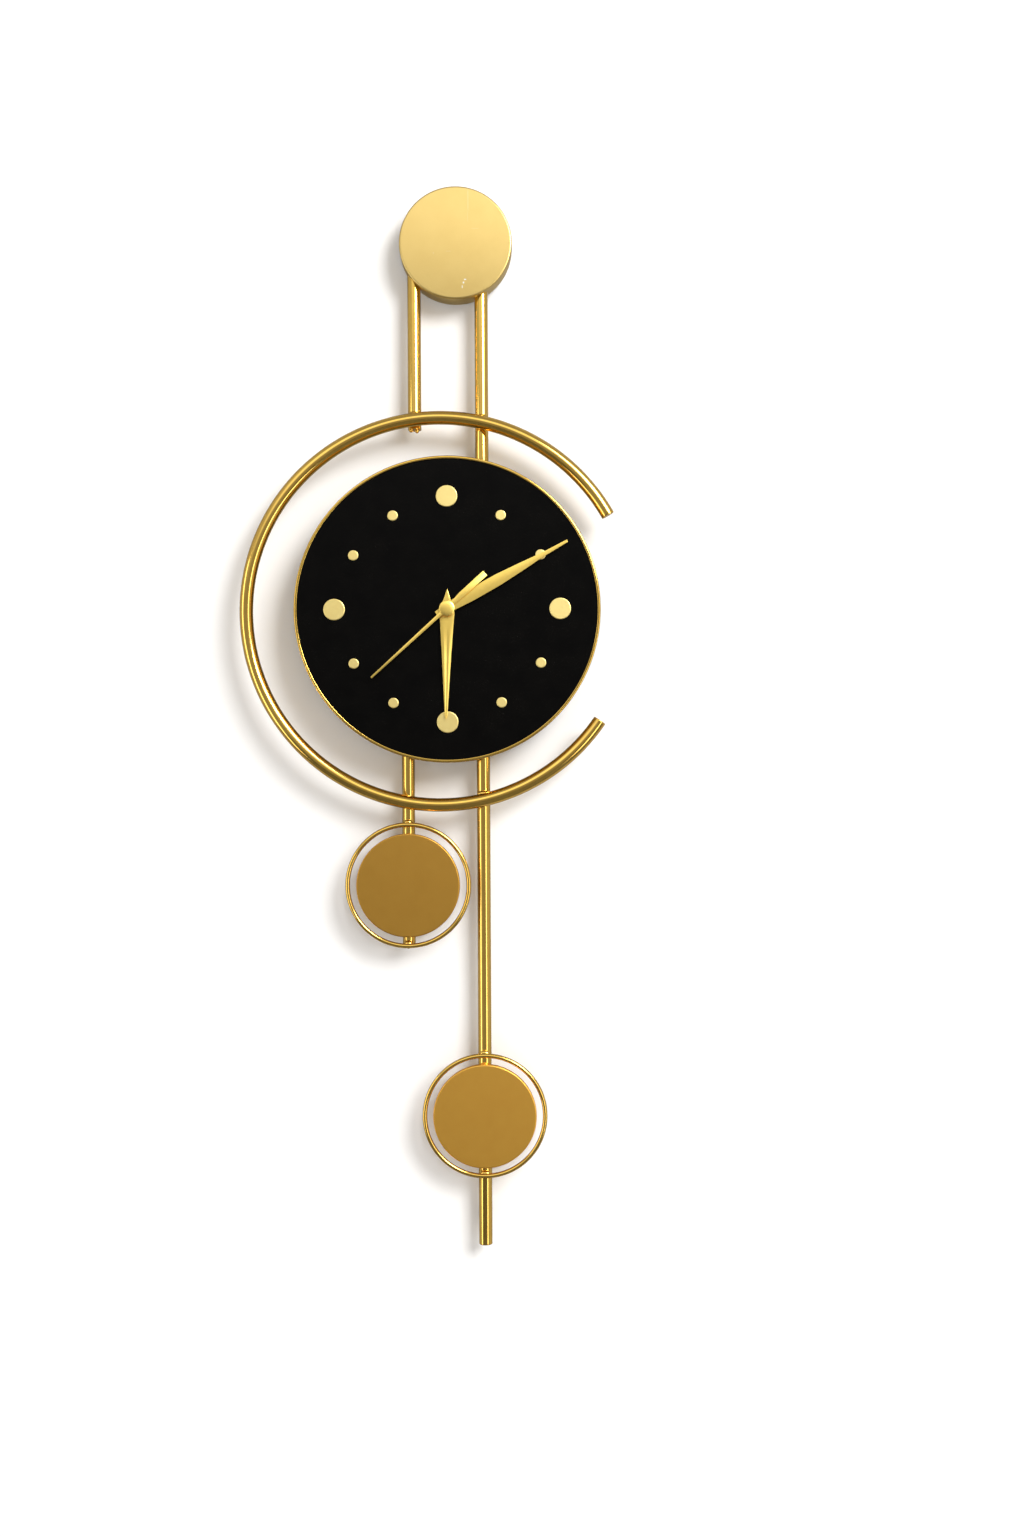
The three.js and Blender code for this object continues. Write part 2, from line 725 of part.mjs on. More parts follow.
const centre = [0, 0];
const thirdAt = polar(TRAIN_DISTANCE, degrees(45));
const intermediateDistance = (INTERMEDIATE_MODULE * (TEETH.intermediatePinion + TEETH.secondWheel)) / 2;
const intermediateAt = polar(intermediateDistance, degrees(150));
const rotorStep = polar((ROTOR_MODULE * (TEETH.rotorPinion + TEETH.intermediateWheel)) / 2, degrees(220));
const rotorAt = [intermediateAt[0] + rotorStep[0], intermediateAt[1] + rotorStep[1]];
const motionAt = polar(MOTION_DISTANCE, degrees(-20));

// The backs of the layers, from the rear cover forwards.
const pivotZ = coverFrontZ + LAYERS.pivots;
const rotorWheelZ = coverFrontZ + LAYERS.rotorPinion;
const secondWheelZ = coverFrontZ + LAYERS.secondWheel;
const statorZ = coverFrontZ + LAYERS.stator;
const thirdWheelZ = coverFrontZ + LAYERS.thirdWheel;
const bridgeZ = coverFrontZ + LAYERS.bridge;
const bridgeFrontZ = bridgeZ + BRIDGE_SHEET;
const centreWheelZ = coverFrontZ + LAYERS.centreWheel;
const boardZ = coverFrontZ + LAYERS.board;
const motionWheelZ = coverFrontZ + LAYERS.motionWheel;
const hourWheelZ = coverFrontZ + LAYERS.hourWheel;

// ---------------------------------------------------------------- toothed wheels

// The outline of a wheel whose first tooth points along `phase`. The teeth are pointed and slim, so
// that a pair runs free at every angle.
function gearOutline(teeth, module, phase) {
  const pitch = (teeth * module) / 2;
  const tip = pitch + 0.6 * module;
  const root = pitch - 1.1 * module;
  const step = (2 * Math.PI) / teeth;
  const points = [];
  for (let i = 0; i < teeth; i++) {
    points.push(polar(root, phase + (i - 0.5) * step), polar(tip, phase + i * step));
  }
  return outlineOf(points);
}

function gear(teeth, module, phase, back, front, bore = 0) {
  const outline = gearOutline(teeth, module, phase);
  if (bore) outline.holes.push(outlineOf(circle(bore, SMALL)));
  return plate(outline, back, front);
}

// Phases that put a tooth of the first wheel into a gap of the second.
function mesh([xa, ya], [xb, yb], teethB) {
  const towards = Math.atan2(yb - ya, xb - xa);
  return { first: towards, second: towards + Math.PI + Math.PI / teethB };
}

const rotorMesh = mesh(rotorAt, intermediateAt, TEETH.intermediateWheel);
const intermediateMesh = mesh(intermediateAt, centre, TEETH.secondWheel);
const secondMesh = mesh(centre, thirdAt, TEETH.thirdWheel);
const thirdMesh = mesh(thirdAt, centre, TEETH.centreWheel);
const cannonMesh = mesh(centre, motionAt, TEETH.motionWheel);
const motionMesh = mesh(motionAt, centre, TEETH.hourWheel);

// ---------------------------------------------------------------- movement: case and electrics

const batteryY = caseBottomY + CASE_WALL + bayHeight / 2;
const dividerY = -DIVIDER_DROP - DIVIDER;
const batteryZ = caseInsideZ - 0.5 - BATTERY_RADIUS;
const insideX = CASE_WIDTH / 2 - CASE_WALL;
const pillarPlaces = [
  [-13, 9],
  [-13, -9],
  [20, 8],
];
const PILLAR_RADIUS = 1.5;
const motionBore = KNOB_SHAFT_RADIUS + PIVOT_CLEARANCE;

// The edge of a flat case, one wall in from the outside or on it.
function caseOutline(width, height, y, inset = 0) {
  return roundedRectangle(width - 2 * inset, height - 2 * inset, CASE_CORNER - inset, 0, y);
}

function frontCase() {
  const face = caseOutline(CASE_WIDTH, caseHeight, caseY);
  face.holes.push(outlineOf(circle(bushRadius + FIT, SMALL)));
  const walls = caseOutline(CASE_WIDTH, caseHeight, caseY);
  walls.holes.push(caseOutline(CASE_WIDTH, caseHeight, caseY, CASE_WALL));
  const divider = block(
    [-insideX - EMBED, dividerY, caseRimZ],
    [insideX + EMBED, -DIVIDER_DROP, caseInsideZ + EMBED],
  );
  const pillars = pillarPlaces.map(([x, y]) =>
    disc(PILLAR_RADIUS, bridgeFrontZ + FIT, caseInsideZ + EMBED, TINY, x, y),
  );
  return joined(
    plate(face, caseInsideZ, caseFrontZ),
    plate(walls, caseRimZ, caseInsideZ + EMBED),
    divider,
    ...pillars,
  );
}

function rearCover() {
  const bayHalf = BATTERY_RADIUS + BAY_CLEARANCE / 2;
  const cover = caseOutline(CASE_WIDTH, caseHeight, caseY);
  cover.holes.push(roundedRectangle(2 * insideX - 1, 2 * bayHalf, 1, 0, batteryY));
  cover.holes.push(outlineOf(circle(motionBore, SMALL, motionAt)));
  const bore = ARBOR_RADIUS + PIVOT_CLEARANCE;
  const bosses = [centre, thirdAt, intermediateAt, rotorAt].map(([x, y]) =>
    pipe(BOSS_RADIUS, bore, coverFrontZ - EMBED, coverFrontZ + BOSS_HEIGHT, TINY, x, y),
  );
  return joined(plate(cover, caseBackZ, coverFrontZ), ...bosses);
}

function battery() {
  const half = BATTERY_LENGTH / 2;
  const edge = 0.5;
  const nub = 2.7;
  const body = turnedUpright([
    [0, -half],
    [BATTERY_RADIUS - edge, -half],
    [BATTERY_RADIUS, -half + edge],
    [BATTERY_RADIUS, half - edge],
    [BATTERY_RADIUS - edge, half],
    [nub, half],
    [nub, half + BATTERY_NUB],
    [0, half + BATTERY_NUB],
  ]);
  return body.rotateZ(-Math.PI / 2).translate(-BATTERY_NUB / 2, batteryY, batteryZ);
}

function contactPlate(x, side) {
  const [halfY, halfZ] = [CONTACT_HEIGHT / 2, CONTACT_DEPTH / 2];
  return block(
    [x, batteryY - halfY, batteryZ - halfZ],
    [x + side * CONTACT, batteryY + halfY, batteryZ + halfZ],
  );
}

const contactX = insideX - FIT - CONTACT;
const batteryEndX = BATTERY_LENGTH / 2 + BATTERY_NUB / 2;

// A contact plate with its coil spring, kept as a solid cone.
function springContact() {
  const reach = contactX - batteryEndX - FIT;
  const [wide, narrow] = [3.4, 2];
  const cone = turnedUpright([[0, -EMBED], [wide, -EMBED], [narrow, reach], [0, reach]], SMALL);
  cone.rotateZ(-Math.PI / 2).translate(-contactX, batteryY, batteryZ);
  return joined(contactPlate(-contactX - CONTACT, 1), cone);
}

// A board with its chip and its quartz crystal.
function circuitBoard() {
  const sheetFrontZ = boardZ + 1;
  const crystalRadius = 1;
  const crystalLength = 6.5;
  const sheet = block([-8, 12, boardZ], [24, 21, sheetFrontZ]);
  const chip = block([10, 14, sheetFrontZ - EMBED], [16, 19, sheetFrontZ + 1]);
  const crystal = disc(crystalRadius, 0, crystalLength, TINY).rotateY(Math.PI / 2);
  crystal.translate(-3, 16.5, sheetFrontZ + crystalRadius - EMBED / 2);
  return joined(sheet, chip, crystal);
}

const coreLow = -DIVIDER_DROP + CORE_ABOVE_DIVIDER + ARM_WIDTH; // lower end of the core's clear length
const statorFrontZ = statorZ + WHEEL_THICKNESS;

function driveCoil() {
  const winding = COIL_RADIUS - 0.5;
  const [low, high] = [coreLow + FIT, CORE_HIGH - FIT];
  const bobbin = turnedUpright(
    [
      [0, low],
      [COIL_RADIUS, low],
      [COIL_RADIUS, low + COIL_FLANGE],
      [winding, low + COIL_FLANGE],
      [winding, high - COIL_FLANGE],
      [COIL_RADIUS, high - COIL_FLANGE],
      [COIL_RADIUS, high],
      [0, high],
    ],
    SMALL,
  ).translate(CORE_X, 0, (statorZ + statorFrontZ) / 2);
  const half = CORE_WIDTH / 2 + FIT;
  const bore = block(
    [CORE_X - half, low - PAST, statorZ - FIT],
    [CORE_X + half, high + PAST, statorFrontZ + FIT],
  );
  return cut(bobbin, bore);
}

// The core through the coil, two arms, and a neck that widens round the rotor's magnet.
function stator() {
  const [x, y] = rotorAt;
  const neckHalf = 2.4;
  const right = x + neckHalf;
  const left = CORE_X - CORE_WIDTH / 2;
  const [low, high] = [coreLow - ARM_WIDTH, CORE_HIGH + ARM_WIDTH];
  const frame = joined(
    block([left, low, statorZ], [left + CORE_WIDTH, high, statorFrontZ]),
    block([left, CORE_HIGH, statorZ], [right, high, statorFrontZ]),
    block([left, low, statorZ], [right, coreLow, statorFrontZ]),
    block([x - neckHalf, low, statorZ], [right, high, statorFrontZ]),
    disc(STATOR_PAD, statorZ, statorFrontZ, ROUND, x, y),
  );
  return cut(frame, disc(STATOR_BORE, statorZ - PAST, statorFrontZ + PAST, ROUND, x, y));
}

function trainBridge() {
  const shape = roundedRectangle(41, 25, 3, 3, 0.5);
  const bore = ARBOR_RADIUS + PIVOT_CLEARANCE;
  for (const [place, radius] of [
    [thirdAt, bore],
    [intermediateAt, bore],
    [rotorAt, bore],
    [centre, bore + PIVOT_CLEARANCE],
    [motionAt, motionBore],
  ]) {
    shape.holes.push(outlineOf(circle(radius, TINY, place)));
  }
  return plate(shape, bridgeZ, bridgeFrontZ);
}

part(movement, "movement_front_case", frontCase(), "case_plastic");
part(movement, "movement_rear_cover", rearCover(), "case_plastic");
part(movement, "battery", battery(), "battery_sleeve");
part(movement, "battery_contact_positive", contactPlate(contactX, 1), "zinc_steel");
part(movement, "battery_contact_negative", springContact(), "zinc_steel");
part(movement, "circuit_board", circuitBoard(), "board_green");
part(movement, "drive_coil", driveCoil(), "coil_copper");
part(movement, "stator", stator(), "zinc_steel");
part(movement, "train_bridge", trainBridge(), "gear_plastic");

// ---------------------------------------------------------------- movement: train

function arbor(back, front, [x, y] = centre) {
  return disc(ARBOR_RADIUS, back, front, TINY, x, y);
}

function at(geometry, [x, y]) {
  return geometry.translate(x, y, 0);
}

function rotor() {
  const pinion = gear(TEETH.rotorPinion, ROTOR_MODULE, rotorMesh.first, rotorWheelZ - 0.1, rotorWheelZ + 1);
  return joined(
    arbor(pivotZ, bridgeFrontZ, rotorAt),
    disc(ROTOR_MAGNET_RADIUS, statorZ - 1, bridgeZ - 0.4, ROUND, ...rotorAt),
    at(pinion, rotorAt),
  );
}

function intermediateWheel() {
  const wheel = gear(TEETH.intermediateWheel, ROTOR_MODULE, rotorMesh.second, rotorWheelZ, rotorWheelZ + 0.8);
  const pinion = gear(
    TEETH.intermediatePinion,
    INTERMEDIATE_MODULE,
    intermediateMesh.first,
    rotorWheelZ + 0.6,
    secondWheelZ + 1.3,
  );
  return joined(
    arbor(pivotZ, bridgeFrontZ, intermediateAt),
    at(wheel, intermediateAt),
    at(pinion, intermediateAt),
  );
}

function secondWheel() {
  return joined(
    arbor(pivotZ, secondHandZ - FIT),
    gear(TEETH.secondWheel, INTERMEDIATE_MODULE, intermediateMesh.second, secondWheelZ, secondWheelZ + 1),
    gear(TEETH.secondPinion, secondModule, secondMesh.first, secondWheelZ + 0.8, bridgeZ - 0.3),
  );
}

function thirdWheel() {
  const wheel = gear(TEETH.thirdWheel, secondModule, secondMesh.second, thirdWheelZ, thirdWheelZ + 1);
  const front = centreWheelZ + WHEEL_THICKNESS + FIT;
  const pinion = gear(TEETH.thirdPinion, centreModule, thirdMesh.first, bridgeFrontZ + FIT, front);
  return joined(arbor(pivotZ, front, thirdAt), at(wheel, thirdAt), at(pinion, thirdAt));
}

function centreWheel() {
  const bore = minutePipeRadius + FIT;
  const front = centreWheelZ + WHEEL_THICKNESS;
  const wheel = gear(TEETH.centreWheel, centreModule, thirdMesh.second, centreWheelZ, front, bore);
  const collar = pipe(bore + PIPE_WALL, bore, front - EMBED, front + 0.5);
  return joined(wheel, collar);
}

part(movement, "rotor", rotor(), "gear_plastic");
part(movement, "intermediate_wheel", intermediateWheel(), "gear_plastic");
part(movement, "second_wheel", secondWheel(), "gear_plastic");
part(movement, "third_wheel", thirdWheel(), "gear_plastic");
part(movement, "centre_wheel", centreWheel(), "gear_plastic");

// ---------------------------------------------------------------- movement: dial work

const knobTipZ = hourWheelZ + 1.4;

function minutePipe() {
  const back = bridgeFrontZ + FIT;
  const front = minuteHandZ + HAND_SHEET;
  const cannon = gear(
    TEETH.cannonPinion,
    cannonModule,
    cannonMesh.first,
    motionWheelZ - FIT,
    motionWheelZ + 1.5,
    minutePipeBore,
  );
  return joined(pipe(minutePipeRadius, minutePipeBore, back, front), cannon);
}

function motionWheel() {
  const bore = motionBore;
  const front = motionWheelZ + 1.2;
  const wheel = gear(TEETH.motionWheel, cannonModule, cannonMesh.second, motionWheelZ, front, bore);
  const pinion = gear(TEETH.motionPinion, hourModule, motionMesh.first, front - EMBED, knobTipZ, bore);
  return at(joined(wheel, pinion), motionAt);
}

function hourWheel() {
  const front = hourWheelZ + 1.2;
  const wheel = gear(TEETH.hourWheel, hourModule, motionMesh.second, hourWheelZ, front, hourPipeBore);
  return joined(wheel, pipe(hourPipeRadius, hourPipeBore, hourWheelZ, hourHandZ + HAND_SHEET));
}

// The knob behind the rear cover, with the shaft that carries the motion wheel.
function setKnob() {
  const front = caseBackZ - FIT;
  const back = front - KNOB_HEIGHT;
  const knob = turned([
    [0, back],
    [KNOB_RADIUS - KNOB_EDGE, back],
    [KNOB_RADIUS, back + KNOB_EDGE],
    [KNOB_RADIUS, front],
    [KNOB_SHAFT_RADIUS, front],
    [KNOB_SHAFT_RADIUS, knobTipZ],
    [0, knobTipZ],
  ]);
  return at(knob, motionAt);
}

const bush = pipe(bushRadius, bushBore, caseInsideZ, bushFrontZ);
const nut = pipe(nutRadius, bushRadius + FIT, faceZ + FIT, nutFrontZ, ROUND);

part(movement, "minute_pipe", minutePipe(), "brass");
part(movement, "motion_wheel", motionWheel(), "gear_plastic");
part(movement, "hour_wheel", hourWheel(), "brass");
part(movement, "set_knob", setKnob(), "case_plastic");
part(movement, "fixing_bush", bush, "brass");
part(movement, "fixing_nut", nut, "brass");

// ---------------------------------------------------------------- hands

// A hand cut from half an outline: [distance along the hand, half width] from tail to tip.
function hand(halfOutline, z, bore) {
  const right = halfOutline.map(([along, half]) => [half, along]);
  const left = halfOutline.filter(([, half]) => half > 0).map(([along, half]) => [-half, along]);
  left.reverse();
  const shape = outlineOf([...right, ...left]);
  if (bore) shape.holes.push(outlineOf(circle(bore, SMALL)));
  return plate(shape, z, z + HAND_SHEET);
}

const hourOutline = [
  [-HOUR_HAND.tail, 0],
  [-8, 3],
  [-5, 4.6],
  [0, 6],
  [5, 6.3],
  [42, 3.8],
  [HOUR_HAND.length - 3, 1.3],
  [HOUR_HAND.length, 0],
];
const minuteOutline = [
  [-MINUTE_HAND.tail, 2.6],
  [0, 4],
  [23, 5.2],
  [50, 5],
  [92, 1.9],
  [MINUTE_HAND.length, 1.2],
];
const secondOutline = [
  [-SECOND_HAND.tail, 2.6],
  [-16, 2.6],
  [-8, 1.6],
  [0, 3],
  [8, 1.3],
  [SECOND_HAND.length, 0.6],
];

// The second hand covers the ends of the pipes with a round cap.
const secondCap = disc(SECOND_CAP_RADIUS, secondHandZ, secondHandZ + SECOND_CAP_HEIGHT);

for (const [name, geometry, { angle }] of [
  ["hour_hand", hand(hourOutline, hourHandZ, hourPipeRadius + FIT), HOUR_HAND],
  ["minute_hand", hand(minuteOutline, minuteHandZ, minutePipeRadius + FIT), MINUTE_HAND],
  ["second_hand", joined(hand(secondOutline, secondHandZ, 0), secondCap), SECOND_HAND],
]) {
  part(movement, name, geometry, "hand_gold").rotation.z = -degrees(angle);
}

// ---------------------------------------------------------------- pendulum and its drive

const pivot = new THREE.Group();
pivot.position.set(PENDULUM_X, pivotY, 0);
clock.add(pivot);

const eyeBackZ = pendulumAxisZ - EYE_THICKNESS / 2;
const eyeFrontZ = pendulumAxisZ + EYE_THICKNESS / 2;
const pinHole = PIN_RADIUS + PIN_CLEARANCE;
const leverBackZ = coverFrontZ + LEVER_AHEAD;
const leverFrontZ = leverBackZ + LEVER_SHEET;

function pendulumTube() {
  const bottom = -bobDrop - smallRingRadius;
  return closedTube(PENDULUM_TUBE_RADIUS, bottom, -PENDULUM_TUBE_DROP).translate(0, 0, pendulumAxisZ);
}

// The ring of the bob, with a lug at its top and bottom that stands it off the tube.
function pendulumRing() {
  const lugBackZ = pendulumFrontZ + FIT;
  const lugs = [smallRingRadius, -smallRingRadius].map((y) =>
    disc(LUG_RADIUS, lugBackZ, bobBackZ + SMALL_RING_WIRE, SMALL, 0, y),
  );
  return joined(wireRing(bobBackZ), ...lugs);
}

function hangerEye() {
  const bore = PENDULUM_TUBE_RADIUS - TUBE_WALL - 2 * FIT;
  const half = Math.sqrt(bore ** 2 - (EYE_THICKNESS / 2) ** 2); // the tongue fills the tube's bore
  const head = disc(EYE_RADIUS, eyeBackZ, eyeFrontZ, ROUND);
  const tongue = block([-half, -TONGUE_DROP, eyeBackZ], [half, 0, eyeFrontZ]);
  const peg = disc(PEG_RADIUS, eyeFrontZ - EMBED, leverFrontZ + 0.5, SMALL, 0, -PEG_DROP);
  return cut(joined(head, tongue, peg), disc(pinHole, eyeBackZ - PAST, eyeFrontZ + PAST));
}

// The lever that the coil pushes: it turns on the pivot pin and takes the peg along.
function magnetLever() {
  const half = LEVER_WIDTH / 2;
  const [below, above] = [leverBackZ - PAST, leverFrontZ + PAST];
  const arm = block([-half, -MAGNET_DROP, leverBackZ], [half, 0, leverFrontZ]);
  const head = disc(LEVER_HEAD_RADIUS, leverBackZ, leverFrontZ);
  const magnetFront = leverFrontZ + MAGNET_TO_COIL;
  const magnet = disc(MAGNET_RADIUS, leverBackZ - 0.5, magnetFront, ROUND, 0, -MAGNET_DROP);
  const pegBore = disc(PEG_RADIUS + FIT, below, above, SMALL, 0, -PEG_DROP);
  return cut(joined(arm, head, magnet), disc(pinHole, below, above), pegBore);
}

const grooveFrontZ = eyeBackZ - GROOVE_BEHIND_EYE;
const grooveBackZ = grooveFrontZ - GROOVE_WIDTH;
const grooveRadius = PIN_RADIUS - GROOVE_DEPTH;

function pivotPin() {
  const back = grooveBackZ - GROOVE_TO_PIN_END;
  return turned(
    [
      [0, back],
      [PIN_RADIUS, back],
      [PIN_RADIUS, grooveBackZ],
      [grooveRadius, grooveBackZ],
      [grooveRadius, grooveFrontZ],
      [PIN_RADIUS, grooveFrontZ],
      [PIN_RADIUS, caseInsideZ],
      [0, caseInsideZ],
    ],
    SMALL,
  );
}

function pivotClip() {
  const back = (grooveBackZ + grooveFrontZ - CLIP_SHEET) / 2;
  const half = CLIP_MOUTH / 2;
  const clip = pipe(CLIP_RADIUS, grooveRadius + FIT / 2, back, back + CLIP_SHEET);
  const mouth = block([-half, 0, back - PAST], [half, CLIP_RADIUS + PAST, back + CLIP_SHEET + PAST]);
  return cut(clip, mouth);
}

function driveCase() {
  const y = DRIVE_ABOVE_PIVOT - DRIVE_HEIGHT / 2;
  const back = caseOutline(DRIVE_WIDTH, DRIVE_HEIGHT, y);
  back.holes.push(outlineOf(circle(pinHole, SMALL)));
  const travel = PEG_DROP * Math.sin(degrees(SWING));
  const slotWidth = 2 * (travel + PEG_RADIUS + 2 * FIT);
  back.holes.push(roundedRectangle(slotWidth, 2 * (PEG_RADIUS + 2 * FIT), 1, 0, -PEG_DROP));
  const walls = caseOutline(DRIVE_WIDTH, DRIVE_HEIGHT, y);
  walls.holes.push(caseOutline(DRIVE_WIDTH, DRIVE_HEIGHT, y, CASE_WALL));
  return joined(plate(back, caseBackZ, coverFrontZ), plate(walls, coverFrontZ - EMBED, caseFrontZ));
}

const coilBackZ = leverFrontZ + 2 * MAGNET_TO_COIL;
const magnetCoil = pipe(
  MAGNET_COIL_RADIUS,
  MAGNET_COIL_BORE,
  coilBackZ,
  caseFrontZ - FIT,
  ROUND,
  0,
  -MAGNET_DROP,
);

part(pivot, "pendulum_tube", pendulumTube(), "polished_gold");
part(pivot, "hanger_eye", hangerEye(), "zinc_steel");
part(pivot, "magnet_lever", magnetLever(), "gear_plastic");
part(pivot, "pivot_pin", pivotPin(), "zinc_steel");
part(pivot, "pivot_clip", pivotClip(), "zinc_steel");
part(pivot, "pendulum_drive_case", driveCase(), "case_plastic");
part(pivot, "pendulum_coil", magnetCoil, "coil_copper");

const bob = new THREE.Group();
bob.position.y = -bobDrop;
part(bob, "pendulum_ring", pendulumRing(), "polished_gold");
part(bob, "pendulum_disc", pressedDisc(bobBackZ, pendulumFrontZ + FIT), "bronze_gold");
pivot.add(bob);

// ---------------------------------------------------------------- stand it up

clock.rotation.x = Math.PI / 2;

export default clock;
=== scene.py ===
# %% [markdown]
# # A pendulum wall clock in brass and black lacquer
#
# The clock hangs from a keyhole plate behind a round cap. Two tubes run down from the cap, a large
# open ring crosses them, and the black dial sits inside the ring. A small ring with a disc swings
# below the dial, and one more of the same kind is fixed low on the long tube.
#
# The frame gives every place and size. This lesson rebuilds each piece that shows with round, smooth
# surfaces, and gives each one a finish.

import json
import math

import bmesh
import bpy
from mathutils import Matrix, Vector


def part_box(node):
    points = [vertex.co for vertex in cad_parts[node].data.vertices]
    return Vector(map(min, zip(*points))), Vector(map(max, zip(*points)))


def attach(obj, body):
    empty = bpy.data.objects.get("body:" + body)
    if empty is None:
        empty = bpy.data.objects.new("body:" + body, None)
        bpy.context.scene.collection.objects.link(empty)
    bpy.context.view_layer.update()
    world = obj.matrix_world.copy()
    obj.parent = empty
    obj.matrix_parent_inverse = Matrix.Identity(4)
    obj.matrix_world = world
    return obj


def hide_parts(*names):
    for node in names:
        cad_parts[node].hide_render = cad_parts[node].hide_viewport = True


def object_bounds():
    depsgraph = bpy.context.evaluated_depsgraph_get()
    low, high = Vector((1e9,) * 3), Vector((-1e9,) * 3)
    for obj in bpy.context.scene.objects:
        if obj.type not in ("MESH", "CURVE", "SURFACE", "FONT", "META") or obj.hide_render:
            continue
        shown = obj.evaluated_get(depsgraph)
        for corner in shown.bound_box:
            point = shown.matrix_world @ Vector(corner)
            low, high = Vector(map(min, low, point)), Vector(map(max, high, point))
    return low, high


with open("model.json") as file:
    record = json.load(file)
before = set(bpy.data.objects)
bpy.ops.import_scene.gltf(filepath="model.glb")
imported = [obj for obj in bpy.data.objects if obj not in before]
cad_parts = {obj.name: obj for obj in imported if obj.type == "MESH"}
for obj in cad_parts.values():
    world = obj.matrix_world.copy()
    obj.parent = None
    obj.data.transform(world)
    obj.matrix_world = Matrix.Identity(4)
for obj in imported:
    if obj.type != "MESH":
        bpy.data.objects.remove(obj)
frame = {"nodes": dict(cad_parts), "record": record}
nodes = frame["nodes"]
body_of_node = {n: body for body, names in frame["record"]["behaviour"]["bodies"].items() for n in names}
cad_low, cad_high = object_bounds()
for plain in list(bpy.data.materials):
    bpy.data.materials.remove(plain)
MM = 0.001
print("pieces in the frame:", len(nodes))
print("height of the clock in mm:", round((cad_high.z - cad_low.z) / MM, 1))

# %% [markdown]
# ## Places and sizes
#
# The dial faces -Y, +X is right and +Z is up. A piece's box holds its lowest and highest corners, so
# its middle and its radius come straight from the frame. That way nothing has to be fitted later.


# %% Read a node's box
def middle(node):
    low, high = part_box(node)
    return (low + high) / 2


def size(node):
    low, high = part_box(node)
    return high - low


def round_box(node):
    """The lowest and highest corner of a round piece, and its radius."""
    low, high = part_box(node)
    return low, high, (high.x - low.x) / 2


def front(node):
    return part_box(node)[0].y


def back(node):
    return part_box(node)[1].y


print("middle of the dial:", tuple(round(v / MM, 1) for v in middle("bezel_ring")))

# %% [markdown]
# ## The camera
#
# The camera stands in front of the clock at eye height for the dial's lower edge, a little to the
# right, and looks straight at the wall. A straight view keeps the tubes parallel. The lens is set by
# how much of the wall it has to take in, and a slight roll leans the tubes a touch, as a hand-held
# camera does.

# %% Set up the camera
CAMERA_PLACE = Vector((0.0465, -1.400, -0.453))
CAMERA_ROLL = 0.3  # degrees
LENS, SENSOR = 37.4, 36  # mm

camera_data = bpy.data.cameras.new("camera")
camera_data.lens = LENS
camera_data.sensor_width = SENSOR
camera = bpy.data.objects.new("camera", camera_data)
bpy.context.scene.collection.objects.link(camera)
camera.location = CAMERA_PLACE
camera.rotation_euler = (math.radians(90), math.radians(CAMERA_ROLL), 0)
bpy.context.scene.camera = camera
print("camera distance from the wall in m:", -CAMERA_PLACE.y)

# %% [markdown]
# ## The wall, the floor and the light
#
# A gold tube is a mirror that bends the room into thin streaks, so the room matters as much as the
# metal. One large soft box to the upper right gives the soft shadows to the lower left and the bright
# streak on the upper tubes. A tall strip on each side carries the streaks down to the lower end of the
# tubes, and shows in metal only, so that it leaves the shadows alone. The rest of the room is a
# gradient, so that flat discs high up look bright and low ones look deep.
#
# The wall is an ordinary white surface from the front. Its back lets light and sight through, so that
# the clock can also be looked at from behind.


# %% Make node trees with less typing
def add_node(tree, kind, **settings):
    node = tree.nodes.new("ShaderNode" + kind)
    for name, value in settings.items():
        if name in node.inputs:
            node.inputs[name].default_value = value
        else:
            setattr(node, name, value)
    return node


def blank_material(name):
    material = bpy.data.materials.new(name)
    material.use_nodes = True
    material.node_tree.nodes.clear()
    return material, material.node_tree


# %% Build the wall and the floor
FLOOR_HEIGHT = cad_low.z - 0.85
WALL_GAP = 0.4 * MM
WALL_SIDE, FLOOR_SIDE = 8, 5  # m


def one_sided_paint(name, grey, grey_in_metal):
    """Paint that is clear from behind, and that the polished metal sees as darker than it is."""
    material, tree = blank_material(name)
    paint = add_node(tree, "BsdfDiffuse")
    tone = add_node(tree, "Mix", data_type="RGBA")
    tone.inputs[6].default_value = (grey, grey, grey, 1)
    tone.inputs[7].default_value = (grey_in_metal, grey_in_metal, grey_in_metal, 1)
    clear = add_node(tree, "BsdfTransparent")
    side = add_node(tree, "NewGeometry")
    path = add_node(tree, "LightPath")
    either = add_node(tree, "Math", operation="MAXIMUM")
    mix = add_node(tree, "MixShader")
    out = add_node(tree, "OutputMaterial")
    tree.links.new(path.outputs["Is Glossy Ray"], tone.inputs[0])
    tree.links.new(tone.outputs[2], paint.inputs["Color"])
    tree.links.new(side.outputs["Backfacing"], either.inputs[0])
    tree.links.new(path.outputs["Is Shadow Ray"], either.inputs[1])
    tree.links.new(either.outputs[0], mix.inputs[0])
    tree.links.new(paint.outputs[0], mix.inputs[1])
    tree.links.new(clear.outputs[0], mix.inputs[2])
    tree.links.new(mix.outputs[0], out.inputs["Surface"])
    return material


def flat_stage(name, place, turn, side, finish):
    bpy.ops.object.select_all(action="DESELECT")
    bpy.ops.mesh.primitive_plane_add(size=side, location=place, rotation=turn)
    plane = bpy.context.active_object
    plane.name = name
    plane.data.materials.append(finish)


wall_paint = one_sided_paint("wall_paint", 0.93, 0.33)
floor_paint = one_sided_paint("floor_paint", 0.6, 0.12)
wall_middle = (0, WALL_GAP, FLOOR_HEIGHT + WALL_SIDE / 2)
flat_stage("wall", wall_middle, (math.radians(90), 0, 0), WALL_SIDE, wall_paint)
flat_stage("floor", (0, -FLOOR_SIDE / 2, FLOOR_HEIGHT), (0, 0, 0), FLOOR_SIDE, floor_paint)


